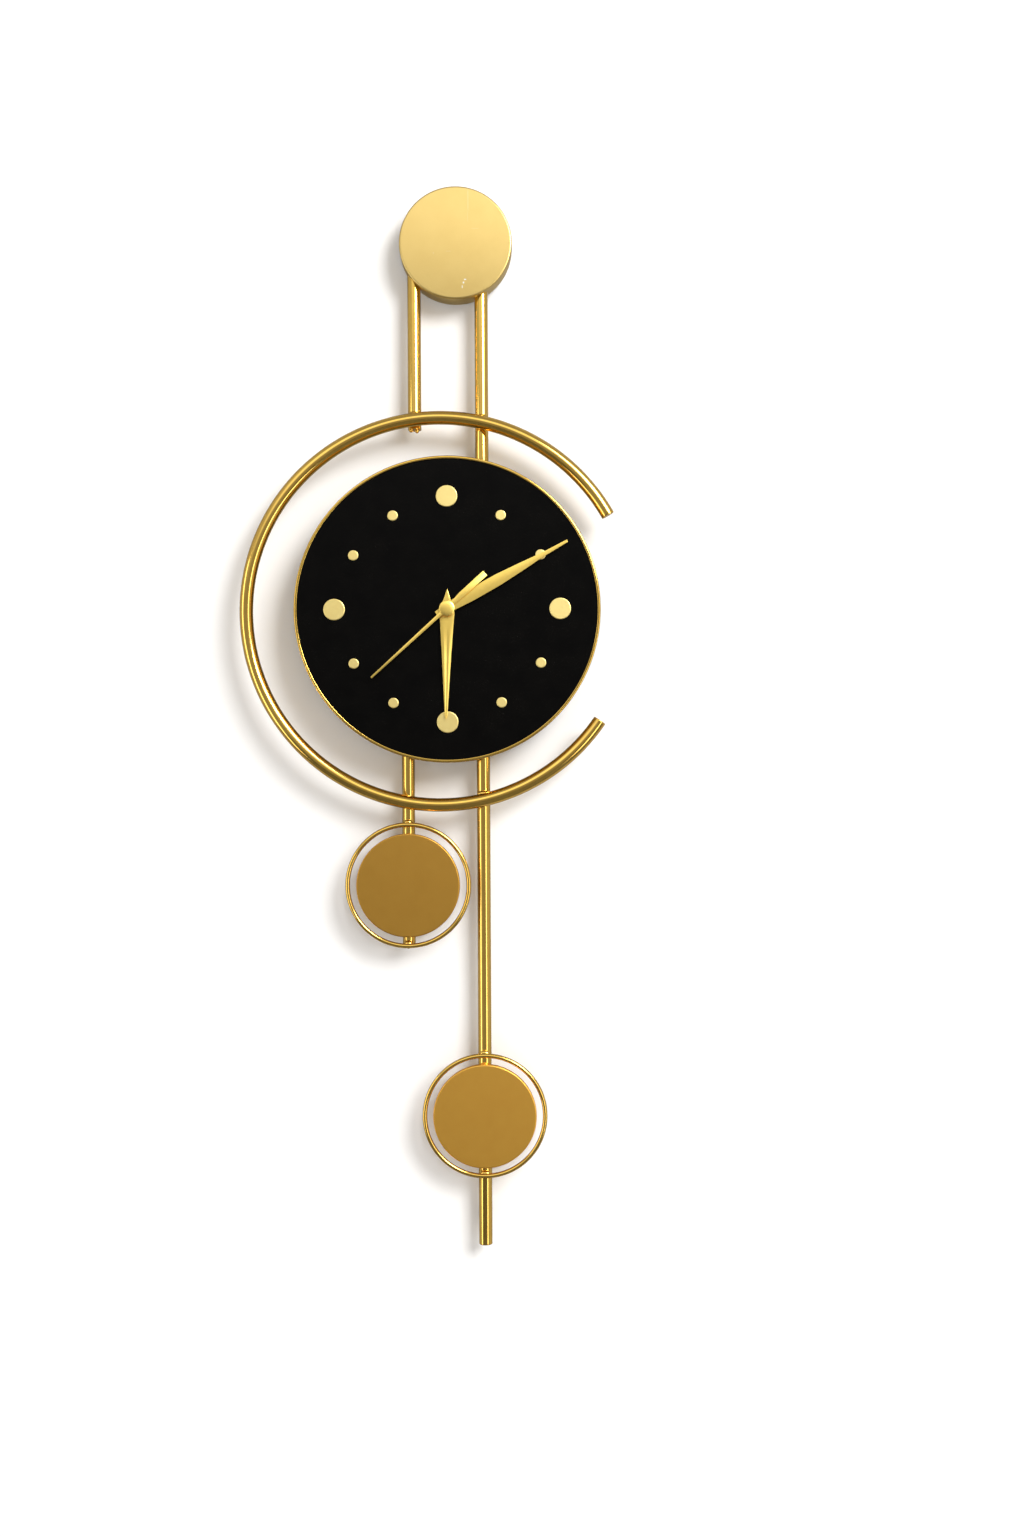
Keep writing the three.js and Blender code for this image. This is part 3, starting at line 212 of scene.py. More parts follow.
# %% Hang the soft boxes
def soft_box(name, place, target, width, height, watts, on_paint):
    """A rectangular lamp that the camera doesn't see. One that isn't on paint shows in metal only."""
    data = bpy.data.lights.new(name, "AREA")
    data.shape = "RECTANGLE"
    data.size = width
    data.size_y = height
    data.energy = watts
    lamp = bpy.data.objects.new(name, data)
    bpy.context.scene.collection.objects.link(lamp)
    lamp.location = place
    lamp.rotation_euler = (Vector(target) - Vector(place)).to_track_quat("-Z", "Y").to_euler()
    lamp.visible_camera = False
    lamp.visible_diffuse = on_paint


DIAL_SIDE = (0, 0, -0.40)
TUBE_SIDE = (0, 0, -0.75)
soft_box("key", (2.0, -2.8, 1.39), DIAL_SIDE, 1.68, 1.76, 140, True)
soft_box("left_strip", (-1.75, -1.05, -0.85), TUBE_SIDE, 0.6, 2.4, 10, False)
soft_box("right_strip", (1.45, -1.75, -0.85), TUBE_SIDE, 0.5, 2.4, 11, False)
soft_box("behind", (0.3, 1.8, 0.3), DIAL_SIDE, 1.6, 1.6, 10, True)


# %% Paint the room
def room():
    world = bpy.data.worlds.new("room")
    world.use_nodes = True
    tree = world.node_tree
    tree.nodes.clear()
    place = add_node(tree, "TexCoord")
    split = add_node(tree, "SeparateXYZ")
    ramp = add_node(tree, "ValToRGB")
    path = add_node(tree, "LightPath")
    mirrored = add_node(tree, "Background", Strength=2.0)
    even = add_node(tree, "Background", Color=(1, 0.955, 0.9, 1), Strength=0.66)
    mix = add_node(tree, "MixShader")
    out = add_node(tree, "OutputWorld")
    shift = add_node(tree, "MapRange", **{"From Min": -1, "From Max": 1})
    tree.links.new(place.outputs["Generated"], split.inputs[0])
    tree.links.new(split.outputs["Z"], shift.inputs["Value"])
    tree.links.new(shift.outputs[0], ramp.inputs[0])
    # Height in the room, from floor to ceiling, against half the brightness straight ahead.
    low_steps = [(0.0, 0.12), (0.36, 0.15), (0.47, 0.15), (0.57, 0.17), (0.66, 0.54)]
    steps = low_steps + [(0.73, 0.75), (0.80, 0.75), (0.87, 0.22), (1.0, 0.16)]
    ramp.color_ramp.elements[0].position = steps[0][0]
    ramp.color_ramp.elements[1].position = steps[-1][0]
    for position, _ in steps[1:-1]:
        ramp.color_ramp.elements.new(position)
    for element, (_, grey) in zip(ramp.color_ramp.elements, steps):
        element.color = (grey, grey, grey, 1)
    # The sides of the room are brighter than the dark place behind the camera.
    aside = add_node(tree, "Math", operation="ABSOLUTE")
    how_far = add_node(tree, "MapRange", **{"From Min": 0.40, "From Max": 0.72})
    sides = add_node(tree, "Mix", data_type="RGBA")
    sides.inputs[7].default_value = (0.27, 0.27, 0.27, 1)
    tree.links.new(split.outputs["X"], aside.inputs[0])
    tree.links.new(aside.outputs[0], how_far.inputs["Value"])
    tree.links.new(how_far.outputs[0], sides.inputs[0])
    tree.links.new(ramp.outputs[0], sides.inputs[6])
    tree.links.new(sides.outputs[2], mirrored.inputs["Color"])
    tree.links.new(path.outputs["Is Glossy Ray"], mix.inputs[0])
    tree.links.new(even.outputs[0], mix.inputs[1])
    tree.links.new(mirrored.outputs[0], mix.inputs[2])
    tree.links.new(mix.outputs[0], out.inputs["Surface"])
    return world


bpy.context.scene.world = room()
bpy.context.scene.view_settings.view_transform = "Standard"
print("stage and light are in place")

# %% [markdown]
# ## Finishes
#
# Every finish is made of nodes. A metal gets its colour from the base colour, and its character from
# roughness: polished plating has a low, slightly uneven roughness and a trace of waviness, and satin
# plating has a fine grain. All patterns use object coordinates in metres, so a noise scale of 500
# gives spots about two millimetres across.


# %% Shared building blocks for the finishes
def place_nodes(tree, stretch=(1, 1, 1)):
    place = add_node(tree, "TexCoord")
    mapping = add_node(tree, "Mapping", Scale=stretch)
    tree.links.new(place.outputs["Object"], mapping.inputs["Vector"])
    return mapping.outputs[0]


def noise(tree, vector, scale, detail=3.0, roughness=0.5):
    texture = add_node(tree, "TexNoise", Scale=scale, Detail=detail, Roughness=roughness)
    tree.links.new(vector, texture.inputs["Vector"])
    return texture.outputs["Fac"]


def spread(tree, value, low, high, start=0.3, end=0.7):
    limits = {"From Min": start, "From Max": end, "To Min": low, "To Max": high}
    ranged = add_node(tree, "MapRange", **limits)
    tree.links.new(value, ranged.inputs["Value"])
    return ranged.outputs[0]


def two_tone(tree, value, first, second):
    mix = add_node(tree, "Mix", data_type="RGBA")
    mix.inputs[6].default_value = (*first, 1)
    mix.inputs[7].default_value = (*second, 1)
    tree.links.new(value, mix.inputs[0])
    return mix.outputs[2]


def bump(tree, height, distance, strength, after=None):
    node = add_node(tree, "Bump", Distance=distance, Strength=strength)
    tree.links.new(height, node.inputs["Height"])
    if after is not None:
        tree.links.new(after, node.inputs["Normal"])
    return node.outputs[0]


def surface(tree, metal, colour, roughness, normal, shine=0.5):
    shader = add_node(tree, "BsdfPrincipled", Metallic=metal, **{"Specular IOR Level": shine})
    out = add_node(tree, "OutputMaterial")
    tree.links.new(colour, shader.inputs["Base Color"])
    tree.links.new(roughness, shader.inputs["Roughness"])
    tree.links.new(normal, shader.inputs["Normal"])
    tree.links.new(shader.outputs[0], out.inputs["Surface"])


FINISHES = {}


# %% The gold finishes
def plated(name, light, deep, smooth, rough, grain, wave):
    """Gold plating: two close colours, an uneven roughness, a fine grain and a slow waviness."""
    material, tree = blank_material(name)
    spot = place_nodes(tree)
    clouds = noise(tree, spot, 90)
    fine = noise(tree, spot, 1400, detail=4)
    slow = noise(tree, spot, 34, detail=1)
    colour = two_tone(tree, spread(tree, clouds, 0, 1), deep, light)
    roughness = spread(tree, fine, smooth, rough)
    waved = bump(tree, slow, 0.002, wave)
    grained = bump(tree, fine, 0.00005, grain, after=waved)
    surface(tree, 1.0, colour, roughness, grained)
    FINISHES[name] = material


# Name, light and deep colour, least and most roughness, grain, waviness.
for recipe in (
    ("polished_gold", (0.89, 0.575, 0.13), (0.85, 0.53, 0.11), 0.08, 0.13, 0.06, 0.004),
    ("pale_gold", (1.0, 0.80, 0.30), (0.99, 0.77, 0.28), 0.34, 0.42, 0.3, 0.005),
    ("bronze_gold", (0.605, 0.325, 0.057), (0.585, 0.31, 0.053), 0.34, 0.44, 0.5, 0.01),
    # The next finish is a lit copy of bronze_gold. Both small discs are one bronze, so its brighter
    # colour is painted light on the lower disc.
    ("bronze_gold_lit_copy", (0.94, 0.515, 0.088), (0.92, 0.49, 0.083), 0.34, 0.44, 0.5, 0.01),
    ("hand_gold", (1.0, 0.72, 0.17), (0.98, 0.69, 0.155), 0.30, 0.38, 0.2, 0.004),
    ("movement_brass", (0.80, 0.60, 0.28), (0.72, 0.52, 0.22), 0.28, 0.42, 0.5, 0.02),
    ("zinc_steel", (0.62, 0.63, 0.64), (0.52, 0.53, 0.55), 0.30, 0.48, 0.6, 0.03),
):
    plated(*recipe)


# %% The cap's finish
def line_mask(tree, value, centre, half):
    """One within half of the centre, and nought outside."""
    offset = add_node(tree, "Math", operation="SUBTRACT")
    offset.inputs[1].default_value = centre
    away = add_node(tree, "Math", operation="ABSOLUTE")
    tree.links.new(value, offset.inputs[0])
    tree.links.new(offset.outputs[0], away.inputs[0])
    return spread(tree, away.outputs[0], 1, 0, start=0.8 * half, end=1.2 * half)


def times(tree, *values):
    product = values[0]
    for value in values[1:]:
        node = add_node(tree, "Math", operation="MULTIPLY")
        for socket, part in zip(node.inputs, (product, value)):
            if isinstance(part, float):
                socket.default_value = part
            else:
                tree.links.new(part, socket)
        product = node.outputs[0]
    return product


def cap_finish(light, deep, worn):
    """Satin gold on a slightly bowed face, with fine scratches, a short seam and a few worn chips."""
    material, tree = blank_material("cap_gold")
    spot = place_nodes(tree)
    split = add_node(tree, "SeparateXYZ")
    tree.links.new(spot, split.inputs[0])
    x, z = split.outputs["X"], split.outputs["Z"]
    fine = noise(tree, spot, 1400, detail=4)
    scratches = noise(tree, place_nodes(tree, (2200, 40, 160)), 1, detail=2)
    colour = two_tone(tree, spread(tree, noise(tree, spot, 60), 0, 1), deep, light)
    # Each mark is a small rectangle: x, z, half its width, half its height (mm), and its strength.
    marks = None
    for place_x, place_z, wide, tall, strength in (
        (11.1, 36.5, 0.16, 8.5, 0.30),
        (10.7, 22.0, 0.14, 4.0, 0.15),
        (8.3, -31.9, 0.95, 0.50, 1.0),
        (6.9, -34.6, 0.60, 0.75, 1.0),
        (5.8, -38.2, 0.35, 1.20, 0.9),
        (-19.0, -9.0, 0.16, 0.5, 0.5),
        (-6.0, -7.5, 2.2, 0.10, 0.3),
        (17.0, 12.0, 3.0, 0.09, 0.25),
    ):
        across = line_mask(tree, x, place_x * MM, wide * MM)
        up = line_mask(tree, z, place_z * MM, tall * MM)
        mark = times(tree, across, up, strength)
        if marks is None:
            marks = mark
            continue
        either = add_node(tree, "Math", operation="MAXIMUM")
        tree.links.new(marks, either.inputs[0])
        tree.links.new(mark, either.inputs[1])
        marks = either.outputs[0]
    mixed = two_tone(tree, marks, deep, worn)
    tree.links.new(colour, mixed.node.inputs[6])
    # The face is bowed a little from top to bottom, so it darkens downwards.
    domed = bump(tree, times(tree, z, z, -0.60), 1.0, 1.0)
    scratched = bump(tree, scratches, 0.00005, 0.5, after=domed)
    grained = bump(tree, fine, 0.00005, 0.4, after=scratched)
    surface(tree, 1.0, mixed, spread(tree, fine, 0.28, 0.38), grained)
    return material


cap_gold = cap_finish((0.75, 0.545, 0.192), (0.725, 0.52, 0.178), (1.0, 0.97, 0.88))


# %% Lacquer, plastic, rubber and the rest
def coated(name, light, deep, smooth, rough, grain, fineness=900, shine=0.5):
    """A surface that isn't metal: close colours, an uneven roughness and a fine texture."""
    material, tree = blank_material(name)
    spot = place_nodes(tree)
    clouds = noise(tree, spot, 60)
    fine = noise(tree, spot, fineness, detail=4)
    colour = two_tone(tree, spread(tree, clouds, 0, 1), deep, light)
    roughness = spread(tree, fine, smooth, rough)
    surface(tree, 0.0, colour, roughness, bump(tree, fine, 0.0001, grain), shine)
    FINISHES[name] = material


COPPER_WIRE = 2600  # fine enough to read as wire
for recipe in (
    ("black_lacquer", (0.0022, 0.0020, 0.0017), (0.0012, 0.0011, 0.0010), 0.18, 0.26, 0.04, 900, 0.07),
    ("case_plastic", (0.03, 0.03, 0.032), (0.02, 0.02, 0.022), 0.45, 0.62, 0.5),
    ("gear_plastic", (0.80, 0.78, 0.70), (0.74, 0.71, 0.62), 0.38, 0.52, 0.3),
    ("board_green", (0.03, 0.14, 0.06), (0.02, 0.10, 0.045), 0.25, 0.4, 0.3),
    ("battery_sleeve", (0.05, 0.09, 0.20), (0.04, 0.07, 0.16), 0.22, 0.34, 0.15),
    ("coil_copper", (0.55, 0.20, 0.07), (0.42, 0.14, 0.05), 0.25, 0.4, 0.8, COPPER_WIRE),
    ("rubber", (0.02, 0.02, 0.02), (0.012, 0.012, 0.012), 0.7, 0.9, 0.8),
):
    coated(*recipe)

slot_of_node = {row["node"]: row["material_slot"] for row in frame["record"]["subparts"]}
for node_name, node in nodes.items():
    node.data.materials.clear()
    node.data.materials.append(FINISHES[slot_of_node[node_name]])
print("finishes:", ", ".join(sorted(FINISHES)))

# %% [markdown]
# ## Tools for modelling by hand
#
# Every piece starts as a primitive at its size and place, and is shaped in edit mode. An operator acts
# on whatever is selected, so each step begins by clearing the selection and then picks faces, edges
# or points by where they are.


# %% Pick and shape
def fresh():
    if bpy.context.mode != "OBJECT":
        bpy.ops.object.mode_set(mode="OBJECT")
    bpy.ops.object.select_all(action="DESELECT")


def apply_place():
    bpy.ops.object.transform_apply(location=True, rotation=True, scale=True)


def begin(name):
    """Names the new primitive, puts its place into its mesh, and opens it in edit mode."""
    piece = bpy.context.active_object
    piece.name = name
    piece.data.name = name
    apply_place()
    bpy.ops.object.mode_set(mode="EDIT")
    return piece


def pick(kind, test):
    """In edit mode, selects the points, edges or faces whose middle and normal pass the test."""
    bpy.context.tool_settings.mesh_select_mode = [kind == k for k in ("VERT", "EDGE", "FACE")]
    bpy.ops.mesh.select_all(action="DESELECT")
    mesh = bmesh.from_edit_mesh(bpy.context.active_object.data)
    mesh.normal_update()
    for element in {"VERT": mesh.verts, "EDGE": mesh.edges, "FACE": mesh.faces}[kind]:
        if kind == "VERT":
            spot, normal = element.co, element.normal
        elif kind == "EDGE":
            spot = (element.verts[0].co + element.verts[1].co) / 2
            normal = element.verts[1].co - element.verts[0].co
        else:
            spot, normal = element.calc_center_median(), element.normal
        element.select_set(bool(test(spot, normal)))
    mesh.select_flush_mode()
    bmesh.update_edit_mesh(bpy.context.active_object.data)


def select_all():
    bpy.ops.mesh.select_all(action="SELECT")


def near(a, b, reach=0.02 * MM):
    return abs(a - b) < reach


def extrude(x, y, z):
    bpy.ops.mesh.extrude_region_move(TRANSFORM_OT_translate={"value": (x, y, z)})


def bevel(width, steps):
    bpy.ops.mesh.bevel(offset=width, segments=steps, affect="EDGES")


def inset(margin, depth=0):
    bpy.ops.mesh.inset(thickness=margin, depth=depth)


def resize(shares, about):
    bpy.ops.transform.resize(value=shares, center_override=about)


def face_outwards():
    select_all()
    bpy.ops.mesh.normals_make_consistent(inside=False)


# %% Finish a piece, and start one from a rod or a box
def complete(piece, node=None, smooth=35, finish=None, body=None, slot=None):
    """Shades and finishes a piece, and lets it ride in place of its node, if it stands for one."""
    body = body or body_of_node[node]
    slot = slot or slot_of_node[node]
    if bpy.context.mode != "OBJECT":
        bpy.ops.object.mode_set(mode="OBJECT")
    bpy.ops.object.shade_smooth_by_angle(angle=math.radians(smooth))
    piece.data.materials.clear()
    piece.data.materials.append(finish or FINISHES[slot])
    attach(piece, body)
    if node:
        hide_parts(node)
    print(piece.name, "has", len(piece.data.polygons), "faces")


def apply_modifier(piece, kind, **settings):
    modifier = piece.modifiers.new(kind.lower(), kind)
    for name, value in settings.items():
        setattr(modifier, name, value)
    bpy.ops.object.modifier_apply(modifier=modifier.name)


def bevel_sharp_edges(piece, width, steps):
    limit = {"limit_method": "ANGLE", "angle_limit": math.radians(50)}
    apply_modifier(piece, "BEVEL", width=width, segments=steps, **limit)


def rod(sides, radius, x, z, front_y, back_y):
    """Adds a cylinder that lies along Y."""
    bpy.ops.mesh.primitive_cylinder_add(
        vertices=sides,
        radius=radius,
        depth=back_y - front_y,
        location=(x, (front_y + back_y) / 2, z),
        rotation=(math.radians(90), 0, 0),
    )


def cube(name, low, high):
    """Adds a box between two corners and opens it in edit mode."""
    low, high = Vector(low), Vector(high)
    fresh()
    bpy.ops.mesh.primitive_cube_add(size=1, location=(low + high) / 2)
    bpy.context.object.scale = high - low
    return begin(name)


# %% [markdown]
# ## Tubes
#
# A tube is a cylinder with many sides. Its closed end gets a small rounded edge, and an inset face
# pushed in a little shows the end plug inside the tube's wall. The other end sits in the cap or the
# drive case, so its bore is opened by an inset and an extrusion down into the tube.

# %% Model the three tubes
TUBE_WALL = 1.2 * MM
END_ROUNDING = 0.5 * MM
PLUG_EDGE, PLUG_GAP, PLUG_SUNK = 0.7 * MM, 0.12 * MM, 0.35 * MM


def closed_tube(name, node, bore_depth):
    low, high, radius = round_box(node)
    place = (low + high) / 2
    fresh()
    bpy.ops.mesh.primitive_cylinder_add(vertices=64, radius=radius, depth=high.z - low.z, location=place)
    piece = begin(name)
    pick("EDGE", lambda spot, along: near(spot.z, low.z) and (spot - place).xy.length > radius * 0.9)
    bevel(END_ROUNDING, 3)
    # A loop just above the rounding keeps the long side straight when it is shaded smooth.
    select_all()
    bpy.ops.mesh.bisect(plane_co=(place.x, place.y, low.z + 0.9 * MM), plane_no=(0, 0, 1))
    pick("FACE", lambda spot, normal: normal.z < -0.99)
    inset(PLUG_EDGE)
    inset(PLUG_GAP, -PLUG_SUNK)
    pick("FACE", lambda spot, normal: normal.z > 0.99)
    inset(TUBE_WALL)
    extrude(0, 0, -bore_depth)
    complete(piece, node)


for node, bore_depth in (("long_tube", 20 * MM), ("short_tube", 20 * MM), ("pendulum_tube", 16.5 * MM)):
    closed_tube(f"{node}_drawn", node, bore_depth)

# %% [markdown]
# ## The large ring
#
# The large ring is one tube bent round to an open C. The Spin tool makes it: a circle, which is the
# tube's section, is turned about the ring's middle in many small steps. The two end plugs say where
# the ring starts and stops.

# %% Find the ring's middle and ends
ring_low, ring_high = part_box("c_ring")
ring_tube = (ring_high.y - ring_low.y) / 2
ring_outer = (ring_high.z - ring_low.z) / 2
ring_radius = ring_outer - ring_tube
ring_y, ring_z = (ring_low.y + ring_high.y) / 2, (ring_low.z + ring_high.z) / 2
ring_middle = Vector((ring_low.x + ring_outer, ring_y, ring_z))


def ring_angle(node):
    step = middle(node) - ring_middle
    return math.atan2(step.z, step.x)


upper_end = ring_angle("c_ring_plug_upper")
lower_end = ring_angle("c_ring_plug_lower")
print("ring ends in degrees:", round(math.degrees(upper_end), 1), round(math.degrees(lower_end), 1))


# %% Spin a wire or a tube into a ring
def spun_section(name, centre, ring, section, start, sweep, steps, sides=32):
    """A circle of the section's radius, set across the ring at the start angle and spun about Y."""
    place = centre + Vector((math.cos(start), 0, math.sin(start))) * ring
    fresh()
    bpy.ops.mesh.primitive_circle_add(
        vertices=sides, radius=section, location=place, rotation=(0, -start, 0), fill_type="NOTHING"
    )
    piece = begin(name)
    select_all()
    bpy.ops.mesh.spin(steps=steps, angle=sweep, center=centre, axis=(0, 1, 0))
    select_all()
    bpy.ops.mesh.remove_doubles(threshold=0.01 * MM)
    return piece


# A plug's lip stands out of the tube and its longer spigot goes in, so its middle lies inside.
PLUG_INSIDE = 1.65 * MM
plug_turn = PLUG_INSIDE / ring_radius
start = upper_end - plug_turn
sweep = 2 * math.pi - start + lower_end + plug_turn
c_ring = spun_section("c_ring_bent", ring_middle, ring_radius, ring_tube, start, sweep, 200)
pick("EDGE", lambda spot, along: False)
bpy.ops.mesh.select_non_manifold()
bpy.ops.mesh.fill_holes(sides=0)
face_outwards()
complete(c_ring, "c_ring")


# %% Press the end plugs in
def ring_plug(name, node, angle, turn):
    """A short round lip that closes the ring's end, with a rounded edge and a flat face."""
    along = Vector((-math.sin(angle), 0, math.cos(angle))) * turn
    place = ring_middle + Vector((math.cos(angle), 0, math.sin(angle))) * ring_radius
    low, high = 0.12 * MM, 1.6 * MM
    fresh()
    bpy.ops.mesh.primitive_cylinder_add(
        vertices=48,
        radius=ring_tube,
        depth=high - low,
        location=place + along * (low + high) / 2,
        rotation=along.to_track_quat("Z", "Y").to_euler(),
    )
    piece = begin(name)
    pick("FACE", lambda spot, normal: normal.dot(along) > 0.99)
    bevel(END_ROUNDING, 3)
    pick("FACE", lambda spot, normal: normal.dot(along) > 0.999)
    inset(0.3 * MM)
    complete(piece, node)


ring_plug("ring_plug_upper", "c_ring_plug_upper", start, -1)
ring_plug("ring_plug_lower", "c_ring_plug_lower", start + sweep, 1)

# %% [markdown]
# ## Turned pieces
#
# Lids, discs, dots, nuts and knobs are all round about an axis that points out of the wall. Each could
# start as a cylinder, but most of them have a stepped section, so it is quicker to draw half of the
# section and spin it. The section starts as a plane whose corners are merged into one point, and that
# point is extruded from corner to corner. Sharp corners get a small arc, because an edge with no
# rounding catches no light.


# %% Draw a section and spin it
def softened(outline, radii, pieces=4):
    """The outline with the corners named in radii (their index and radius) replaced by arcs."""
    points = []
    for i, corner in enumerate(outline):
        if i not in radii:
            points.append(corner)
            continue
        corner = Vector(corner)
        a = (Vector(outline[i - 1]) - corner).normalized()
        b = (Vector(outline[(i + 1) % len(outline)]) - corner).normalized()
        half = a.angle(b) / 2
        hub = corner + (a + b).normalized() * radii[i] / math.sin(half)
        first = corner + a * radii[i] / math.tan(half) - hub
        last = corner + b * radii[i] / math.tan(half) - hub
        for k in range(pieces + 1):
            arm = first.lerp(last, k / pieces).normalized() * radii[i]
            points.append(tuple(hub + arm))
    return points


def spun_outline(name, place, outline, steps=96, closed=False):
    """Spins an outline of (radius, y) points about the Y axis through place."""
    x, z = place.x, place.z
    fresh()
    bpy.ops.mesh.primitive_plane_add(size=MM, location=(x + outline[0][0], outline[0][1], z))
    piece = begin(name)
    pick("VERT", lambda spot, normal: True)
    bpy.ops.mesh.merge(type="CENTER")
    for (r0, y0), (r1, y1) in zip(outline, outline[1:] + outline[:1] * closed):
        extrude(r1 - r0, y1 - y0, 0)
    select_all()
    bpy.ops.mesh.spin(steps=steps, angle=2 * math.pi, center=(x, 0, z), axis=(0, 1, 0))
    select_all()
    bpy.ops.mesh.remove_doubles(threshold=0.004 * MM)
    face_outwards()
    return piece


def turned(name, node, outline, rounding, steps, closed=False, smooth=30):
    """A finished piece from one outline, spun about the middle of its node."""
    complete(spun_outline(name, middle(node), softened(outline, rounding), steps, closed), node, smooth)


# %% [markdown]
# ## The cap and the small discs
#
# The cap is a shallow lid: a flat face, a rounded edge and a thin wall that reaches back. The small
# discs are the same with a thinner edge and a boss in the middle, which stands on the tube. A ring of
# points just inside the rounded edge keeps the wide face flat when it is shaded smooth.

# %% Spin the cap and the discs
CAP_SHEET = 1.5 * MM
DISC_SHEET, DISC_DEPTH, DISC_BOSS = 1.2 * MM, 6 * MM, 6 * MM
CAP_EDGE, DISC_EDGE = 1.4 * MM, 0.9 * MM
HOLD = 0.5 * MM  # flat margin beside a rounded edge


def lid(name, node, sheet, edge, boss=0.0):
    low, high, radius = round_box(node)
    face, rim = low.y, high.y
    inner = radius - sheet
    if boss:
        rim = face + DISC_DEPTH
    outline = [(0, face), (radius - edge - HOLD, face), (radius, face), (radius, rim)]
    outline += [(inner, rim), (inner, face + sheet), (boss, face + sheet)]
    if boss:
        outline += [(boss, high.y), (0, high.y)]
    rounding = {2: edge, 3: 0.25 * MM, 4: 0.25 * MM, 5: 0.6 * MM}
    return spun_outline(name, middle(node), softened(outline, rounding), steps=128)


cap = lid("top_cap_pressed", "top_cap", CAP_SHEET, CAP_EDGE)


def cut_away(piece, cutter):
    """Cuts one piece out of another with a Boolean modifier, and throws the cutter away."""
    fresh()
    bpy.context.view_layer.objects.active = piece
    piece.select_set(True)
    apply_modifier(piece, "BOOLEAN", operation="DIFFERENCE", solver="EXACT", object=cutter)
    bpy.data.objects.remove(cutter)


# %% Notch the cap's wall for the two tubes
TUBE_CLEARANCE = 0.3 * MM
NOTCH_DROP = 6 * MM  # the notch starts this far below the cap's middle


def tube_cutter(node):
    """A bar as wide as the tube that runs down from the cap and is open towards the wall."""
    radius = round_box(node)[2] + TUBE_CLEARANCE
    place = middle(node)
    length = size("top_cap").z
    place.z = middle("top_cap").z - length / 2 - NOTCH_DROP
    fresh()
    bpy.ops.mesh.primitive_cylinder_add(vertices=48, radius=radius, depth=length, location=place)
    piece = begin("cutter")
    pick("FACE", lambda spot, normal: normal.y > 0.05)
    extrude(0, 12 * MM, 0)
    fresh()
    return piece


for node in ("long_tube", "short_tube"):
    cut_away(cap, tube_cutter(node))
complete(cap, "top_cap", smooth=30, finish=cap_gold)

# Both discs are the same bronze. The lower disc's lighter finish is painted light, not a different metal.
for node, finish in (("pendulum_disc", "bronze_gold"), ("lower_disc", "bronze_gold_lit_copy")):
    disc = lid(f"{node}_pressed", node, DISC_SHEET, DISC_EDGE, boss=DISC_BOSS)
    complete(disc, node, smooth=30, finish=FINISHES[finish])

# %% [markdown]
# ## The small rings
#
# Each small ring is a wire bent to a full circle, so the spin goes all the way round and the seam is
# merged. The ring of the pendulum has two short lugs that stand it off its tube.

# %% Spin the wire rings
WIRE = 2.0 * MM
LUG = 2.4 * MM


def wire_ring(name, node):
    """A closed wire ring. Also gives its middle, which lies in the wire, and its radius."""
    low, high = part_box(node)
    ring = (high.z - low.z) / 2 - WIRE
    place = middle(node)
    centre = Vector((place.x, low.y + WIRE, place.z))
    piece = spun_section(name, centre, ring, WIRE, 0, 2 * math.pi, 144, sides=20)
    bpy.ops.mesh.normals_make_consistent(inside=False)
    return piece, centre, ring


complete(wire_ring("lower_ring_bent", "lower_ring")[0], "lower_ring")

# %% Stand the pendulum's ring on its lugs
pendulum_ring, bob_middle, bob_ring = wire_ring("pendulum_ring_bent", "pendulum_ring")
tube_front = front("pendulum_tube")
for side in (1, -1):
    rod(32, LUG, bob_middle.x, bob_middle.z + side * bob_ring, bob_middle.y, tube_front)
    bevel(0.3 * MM, 2)
complete(pendulum_ring, "pendulum_ring")

# %% [markdown]
# ## The dial
#
# The dial is a sheet of steel with a coat of gloss black. A thin brass bezel folds over its edge. The
# twelve dots stand a little proud of the lacquer, and their rounded edges catch the light.

# %% Spin the dial plate and the bezel
dial_middle = middle("bezel_ring")
bezel_radius = size("bezel_ring").x / 2
face_y = front("dial_plate")
plate_radius = size("dial_plate").x / 2
POST, POST_HOLE, POST_HOLE_DEPTH = 4.6 * MM, 2.1 * MM, 10 * MM
PLATE_SHEET = 1.2 * MM
BUSH_HOLE = 4.35 * MM
plate_back = face_y + PLATE_SHEET

outline = [(BUSH_HOLE, face_y), (BUSH_HOLE + HOLD, face_y), (plate_radius - HOLD, face_y)]
outline += [(plate_radius, face_y), (plate_radius, plate_back), (BUSH_HOLE, plate_back)]
plate = spun_outline("dial_plate_lacquered", dial_middle, outline, steps=160, closed=True)
post_back = back("dial_plate")
post_z = middle("dial_bracket").z
for node in ("bracket_screw_left", "bracket_screw_right"):
    rod(40, POST, middle(node).x, post_z, plate_back, post_back)
    pick("FACE", lambda spot, normal: normal.y > 0.99 and near(spot.y, post_back))
    inset(POST - POST_HOLE)
    extrude(0, -POST_HOLE_DEPTH, 0)
complete(plate, "dial_plate")

lip_front, bezel_back = front("bezel_ring"), back("bezel_ring")
LIP, BEZEL_SHEET = 2.6 * MM, 1.2 * MM
lip_back, lip_inner = lip_front + BEZEL_SHEET, bezel_radius - LIP
inner = bezel_radius - BEZEL_SHEET
outline = [(lip_inner, lip_back), (lip_inner, lip_front), (bezel_radius, lip_front)]
outline += [(bezel_radius, bezel_back), (inner, bezel_back), (inner, lip_back)]
rounding = {1: 0.55 * MM, 2: 1.1 * MM, 3: 0.3 * MM, 4: 0.3 * MM}
turned("bezel_rolled", "bezel_ring", outline, rounding, steps=192, closed=True, smooth=40)


# %% Set the twelve dots
DOT_EDGE = 0.7 * MM


def dot(name, node):
    low, high, radius = round_box(node)
    flat = radius - DOT_EDGE - 0.2 * MM
    outline = [(0, low.y), (flat, low.y), (radius, low.y), (radius, high.y), (0, high.y)]
    turned(name, node, outline, {2: DOT_EDGE}, steps=64)


for hour in range(1, 13):
    dot(f"hour_dot_{hour:02d}", f"hour_marker_{hour:02d}")

